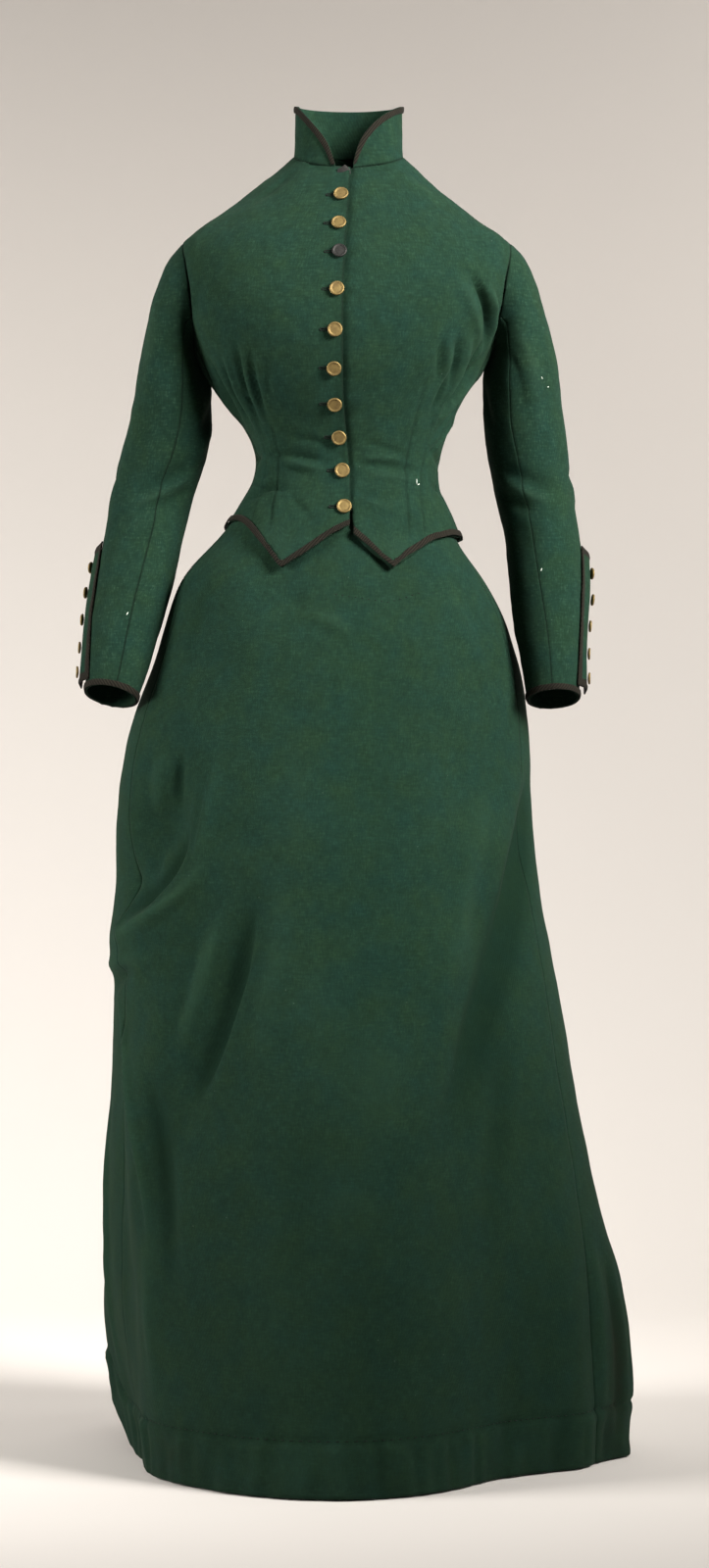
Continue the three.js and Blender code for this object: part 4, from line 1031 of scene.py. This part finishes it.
def metal_material(name, bright, dull, roughness):
    """Old metal: bright where it is rubbed, dull where dirt lies, with fine scratches."""
    metal = new_material(name)
    place = add(metal, "ShaderNodeTexCoord", {}).outputs["Object"]
    spots = {"Vector": place, "Scale": 190.0, "Detail": 5.0, "Roughness": 0.65}
    tarnish = add(metal, "ShaderNodeTexNoise", spots).outputs["Fac"]
    patch = add(metal, "ShaderNodeMapRange", {"Value": tarnish, "From Min": 0.42, "From Max": 0.8})
    colour = add(
        metal,
        "ShaderNodeMix",
        {0: patch.outputs["Result"], 6: linear(bright), 7: linear(dull)},
        data_type="RGBA",
    )
    rough = add(
        metal,
        "ShaderNodeMapRange",
        {"Value": tarnish, "To Min": roughness - 0.1, "To Max": roughness + 0.15},
    )
    scratch = add(metal, "ShaderNodeTexNoise", {"Vector": place, "Scale": 1400.0, "Detail": 2.0})
    scratched = add(
        metal, "ShaderNodeBump", {"Height": scratch.outputs["Fac"], "Strength": 0.25, "Distance": 0.1 * mm}
    )
    shader = add(
        metal,
        "ShaderNodeBsdfPrincipled",
        {
            "Base Color": colour.outputs[2],
            "Metallic": 0.8,
            "Roughness": rough.outputs["Result"],
            "Normal": scratched.outputs["Normal"],
        },
    )
    return finish_material(metal, shader)


blackened = metal_material("blackened_metal", "#302f2d", "#1c1b1a", 0.6)

# A small black hook stands at the top of the closing and holds the collar's ends together.
hook_outline = [(-10, -5), (5, -5), (4.5, 0), (1.5, 3), (-1.5, 5.5), (-4.5, 3), (-9, 1)]
hook_at = {"angle": -3, "height": 328}
hook_thickness, hook_round = 1.2 * mm, 0.4 * mm
bm = bmesh.new()
plate = bm.faces.new([bm.verts.new((x * mm, 0, z * mm)) for x, z in hook_outline])
raised = bmesh.ops.extrude_face_region(bm, geom=[plate])["geom"]
front_verts = [v for v in raised if isinstance(v, bmesh.types.BMVert)]
bmesh.ops.translate(bm, verts=front_verts, vec=(0, -hook_thickness, 0))
bmesh.ops.bevel(
    bm, geom=bm.edges[:], offset=hook_round, segments=2, profile=0.5, affect="EDGES", material=-1
)
bmesh.ops.recalc_face_normals(bm, faces=bm.faces)
fronts_surface = surface_of([panel["piece"] for panel in bodice_panels[:2]])
point, out = on_surface(fronts_surface, hook_at["angle"], hook_at["height"])
bmesh.ops.translate(bm, verts=bm.verts, vec=point)
neck_hook = add_object("neck_hook", bm)
neck_hook.data.materials.append(blackened)
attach(neck_hook, "root")


# ---------- Sleeves ----------
# Coat sleeves in two pieces, an upper and an under sleeve, bent at the elbow and set into the
# armholes. They are slim, break at the bend of the arm and wrinkle softly under the shoulder.
sleeve_wool = wool_material("fulled_green_wool_twill_sleeve", "#46624f")


def arm_line(name):
    """The middle line of an arm, from the two pieces of its sleeve."""
    points = [v.co for piece in ("upper", "under") for v in nodes[f"{name}_sleeve_{piece}"].data.vertices]
    line = {"height": [], "x": [], "y": []}
    slab, shoulder = 32 * mm, 0.24
    height = min(p.z for p in points) + slab / 2
    while height < shoulder:
        near = [p for p in points if abs(p.z - height) < slab]
        line["height"].append(height)
        line["x"].append((min(p.x for p in near) + max(p.x for p in near)) / 2)
        line["y"].append((min(p.y for p in near) + max(p.y for p in near)) / 2)
        height += slab
    return line


# Their folds, in the order of fold_columns. Angles go round the arm: 0 at its front, 90 at its outer
# side, -90 at the body.
sleeve_folds = {
    "right": [
        ((-60, 20), (-20, -6), (40, -24), 8, -2.6, 0.3),
        ((-70, -4), (-30, -30), (20, -44), 7, -2.2),
        ((-56, 8), (-20, -18), (30, -34), 6, 1.8),
        ((-92, 168), (-90, 118), (-90, 68), 14, 4),
        ((-100, 92), (-70, 60), (-40, 44), 9, -2.4),
        ((-96, 66), (-70, 40), (-44, 20), 8, 2.2),
        ((60, 30), (84, -8), (120, -22), 8, -2.4),
        ((-20, 204), (10, 150), (4, 90), 11, -1.8),
        ((24, 214), (34, 150), (30, 80), 12, 1.6),
        ((0, -60), (30, -110), (20, -170), 9, -1.2),
        ((150, 60), (172, 20), (200, -20), 10, -2.4),
        ((130, -60), (160, -80), (190, -90), 9, -1.8),
    ],
    "left": [
        ((-60, 16), (-16, -8), (44, -18), 8, -2.4, 0.3),
        ((-74, -8), (-34, -34), (16, -42), 7, -2.2),
        ((-60, 4), (-20, -20), (34, -30), 6, 1.8),
        ((-30, 150), (0, 112), (4, 40), 8, -1.5, -0.3),
        ((-8, 176), (16, 116), (20, 42), 8, 1.2),
        ((14, 184), (36, 118), (38, 54), 9, -1),
        ((-92, 172), (-90, 126), (-90, 78), 14, 3.4),
        ((-88, 110), (-66, 74), (-40, 40), 9, -2.4),
        ((64, 26), (88, -8), (124, -18), 8, -2.8),
        ((70, 10), (92, -24), (126, -36), 7, 2.2),
        ((148, 60), (170, 20), (200, -20), 10, -2.4),
        ((130, -60), (160, -80), (190, -90), 9, -1.8),
    ],
}
sleeve_cut = {
    "upper": {"grain": 30, "flat": (0.24, 0.52), "area": 0.053},
    "under": {"grain": 200, "flat": (0.24, 0.50), "area": 0.071},
}
sleeve_fold_depth, sleeve_fold_mark = 1.35, 1.3
sleeve_slack = [(1.1, 34, 10), (0.45, 13, 11)]


def sleeve_lift(name):
    """The lift of one sleeve's cloth, to share between its two pieces and what lies on them."""
    folds = sleeve_folds[name]
    return lambda at: sleeve_fold_depth * fold_lift(at, folds) + slack_lift(at, sleeve_slack)


arms = {}
for name, side in (("right", -1), ("left", 1)):
    arms[name] = {"line": arm_line(name), "side": side, "lift": sleeve_lift(name), "pieces": []}
    for part, cut in sleeve_cut.items():
        node = f"{name}_sleeve_{part}"
        piece = outer_cloth(node, arms[name]["line"])
        at = places(piece, arms[name]["line"], side)
        rim = rim_distance(piece)
        lift = arms[name]["lift"](at) - seam_sink["depth"] * hump(rim, seam_sink["width"])
        lift_cloth(piece, lift)
        mark(piece, fold=lift * sleeve_fold_mark, seam=seam_shade(rim, width=0.9, depth=0.75))
        lay_weave(piece, at, cut["grain"])
        piece.data.materials.append(sleeve_wool)
        thicken(piece)
        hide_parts(node)
        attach(piece, "root")
        arms[name]["pieces"].append(piece)
    close_seams(arms[name]["pieces"])


# ---------- Cuffs ----------
# Each sleeve ends in a row of braid. Along the outer seam of the forearm stands a narrow flap of
# the wool, bound all round with the same braid and set with five small buttons.
binding_width = 6.5
binding_round = {"lift": 0.6, "width": 1.4, "edge": 1.2}
flap_grain = 60
flap_slack = [(0.5, 22, 12)]
for name, arm in arms.items():
    cuff = make_braid(f"{name}_cuff_braid", arm["lift"], arm["line"], arm["side"])
    flap = outer_cloth(f"{name}_cuff_flap", arm["line"])
    at = places(flap, arm["line"], arm["side"])
    rim = rim_distance(flap)
    bound = eased((binding_width - rim) / binding_round["edge"])
    lift = binding_round["lift"] * bound * (1 - hump(rim, binding_round["width"]))
    lift += slack_lift(at, flap_slack)
    lift_cloth(flap, lift)
    mark(flap, fold=lift)
    lay_weave(flap, at, flap_grain)
    flap.data.materials.append(sleeve_wool)
    flap.data.materials.append(braid_wool)
    for face in flap.data.polygons:
        nearest = min(rim[i] for i in face.vertices)
        face.material_index = 1 if nearest < binding_width else 0
    thicken(flap)
    flap.modifiers["thickness"].material_offset = 1
    flap.modifiers["thickness"].material_offset_rim = 1
    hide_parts(f"{name}_cuff_flap")
    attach(flap, "root")


# ---------- Buttons ----------
# Stamped brass buttons, once gilt: a flat disc with a raised rim, sewn on by a shank. The gilding
# has dulled and rubbed through to brown in patches. One front button is a dark replacement.
gilt = metal_material("rubbed_gilt_brass", "#7d6a40", "#54432a", 0.56)

# A button's outline, from the middle of its face round the rim to the middle of its back, as parts
# of its radius. out: from its middle; rise: from its back.
button_outline = [
    {"out": 0.0, "rise": 0.40},
    {"out": 0.55, "rise": 0.40},
    {"out": 0.72, "rise": 0.38},
    {"out": 0.80, "rise": 0.46},
    {"out": 0.90, "rise": 0.47},
    {"out": 0.98, "rise": 0.38},
    {"out": 1.0, "rise": 0.28},
    {"out": 0.95, "rise": 0.16},
    {"out": 0.78, "rise": 0.10},
    {"out": 0.30, "rise": 0.02},
    {"out": 0.0, "rise": 0.0},
]


cuff_buttons, front_buttons, dark_button = 5, 10, 8
button_steps, cord_steps = 40, 20


def make_button(node, metal, middle=body_middle):
    """A turned disc on its node's place, facing the way that the node faces."""
    points = np.array([v.co for v in nodes[node].data.vertices])
    centre = (points.min(0) + points.max(0)) / 2
    centred = points - points.mean(0)
    out = Vector(np.linalg.eigh(centred.T @ centred)[1][:, 0])
    x, y = middle_at(middle, centre[2])
    if out.dot(Vector((centre[0] - x, centre[1] - y, 0))) < 0:
        out = -out
    heights = points @ np.array(out)
    away = [Vector(p) - Vector(centre) for p in points]
    radius = max((p - out * p.dot(out)).length for p in away)
    back = Vector(centre) + out * (heights.min() - Vector(centre).dot(out))
    bm = bmesh.new()
    ring = [bm.verts.new((row["out"] * radius, 0, row["rise"] * radius)) for row in button_outline]
    outline = [bm.edges.new(pair) for pair in zip(ring, ring[1:])]
    around = {"cent": (0, 0, 0), "axis": (0, 0, 1), "angle": math.tau, "use_merge": True}
    bmesh.ops.spin(bm, geom=ring + outline, steps=button_steps, **around)
    bmesh.ops.remove_doubles(bm, verts=bm.verts, dist=same_place)
    bmesh.ops.recalc_face_normals(bm, faces=bm.faces)
    bmesh.ops.transform(bm, matrix=seated(back, out, Vector((0, 0, 1))), verts=bm.verts)
    piece = add_object(node + "_disc", bm)
    piece.data.materials.append(metal)
    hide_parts(node)
    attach(piece, "root")
    return back, out, radius


for name, arm in arms.items():
    for i in range(1, cuff_buttons + 1):
        make_button(f"{name}_cuff_button_{i}", gilt, arm["line"])

# Each front button stands at the end of a buttonhole, worked round in green silk, which shows
# beyond it towards the wearer's right.
hole_length, hole_height, hole_cord = 17 * mm, 2.4 * mm, 0.8 * mm
hole_inset = 0.95  # of the button's radius, from its middle to the hole's
cord_start = math.radians(7)  # so that no part of the ring lies where it is drawn apart
bm = bmesh.new()
for i in range(1, front_buttons + 1):
    back, out, radius = make_button(f"front_button_{i}", blackened if i == dark_button else gilt)
    level = (Vector((1, 0, 0)) - out * out.x).normalized()
    hole = back - level * (radius * hole_inset)
    point, normal = on_surface(fronts_surface, math.degrees(math.atan2(hole.x, -hole.y)), hole.z / mm)
    # a ring of cord is spun, then its halves are drawn apart to the buttonhole's length
    cord = bmesh.ops.create_circle(bm, segments=8, radius=hole_cord)["verts"]
    bmesh.ops.rotate(bm, verts=cord, cent=(0, 0, 0), matrix=Matrix.Rotation(math.radians(90), 3, "X"))
    bmesh.ops.translate(bm, verts=cord, vec=(hole_height / 2, 0, 0))
    bmesh.ops.rotate(bm, verts=cord, cent=(0, 0, 0), matrix=Matrix.Rotation(cord_start, 3, "Z"))
    ring = cord + list({e for v in cord for e in v.link_edges})
    before = set(bm.verts) - set(cord)
    bmesh.ops.spin(
        bm, geom=ring, cent=(0, 0, 0), axis=(0, 0, 1), angle=math.tau, steps=cord_steps, use_merge=True
    )
    loop = [v for v in bm.verts if v not in before]
    for v in loop:
        v.co.x += math.copysign((hole_length - hole_height) / 2, v.co.x)
    bmesh.ops.transform(bm, matrix=seated(point, normal, level), verts=loop)
bmesh.ops.recalc_face_normals(bm, faces=bm.faces)
buttonholes = add_object("buttonholes", bm)
buttonholes.data.materials.append(silk)
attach(buttonholes, "root")


# ---------- Thread ends ----------
# A few ends of white cotton thread, a few millimetres long, cling to the nap of the cloth where
# the habit has been mended and handled.
thread = new_material("white_cotton_thread")
thread_place = add(thread, "ShaderNodeTexCoord", {}).outputs["Object"]
thread_ply = add(thread, "ShaderNodeTexNoise", {"Vector": thread_place, "Scale": 900.0}).outputs["Fac"]
thread_colour = add(
    thread, "ShaderNodeMix", {0: thread_ply, 6: linear("#8e9a8d"), 7: linear("#c9cfc4")}, data_type="RGBA"
)
thread_shader = add(
    thread, "ShaderNodeBsdfPrincipled", {"Base Color": thread_colour.outputs[2], "Roughness": 0.9}
)
finish_material(thread, thread_shader)
thread_ends = [
    {"x": 73, "z": -9, "long": 3.2, "turn": 80},
    {"x": 75, "z": -12, "long": 2, "turn": 20},
    {"x": -239, "z": -151, "long": 2, "turn": 60},
    {"x": 209, "z": 105, "long": 1.6, "turn": -40},
    {"x": 216, "z": 96, "long": 1.4, "turn": 10},
    {"x": 208, "z": -103, "long": 1.8, "turn": 70},
]
cloth_surface = surface_of(
    [bodice_panels[1]["piece"]] + [piece for arm in arms.values() for piece in arm["pieces"]]
)
fibre_radius = 0.6 * mm
bm = bmesh.new()
for end in thread_ends:
    point, out, _, _ = cloth_surface.ray_cast(Vector((end["x"] * mm, -1, end["z"] * mm)), Vector((0, 1, 0)))
    if point is None:
        continue
    turn = math.radians(end["turn"])
    seat = seated(point, out, Vector((math.cos(turn), 0, math.sin(turn))))
    fibre = bmesh.ops.create_icosphere(bm, subdivisions=2, radius=1)["verts"]
    drawn_out = Matrix.Diagonal((end["long"] * mm, fibre_radius, fibre_radius, 1))
    bmesh.ops.transform(bm, matrix=seat @ drawn_out, verts=fibre)
loose_thread = add_object("loose_thread_ends", bm)
loose_thread.data.materials.append(thread)
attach(loose_thread, "root")
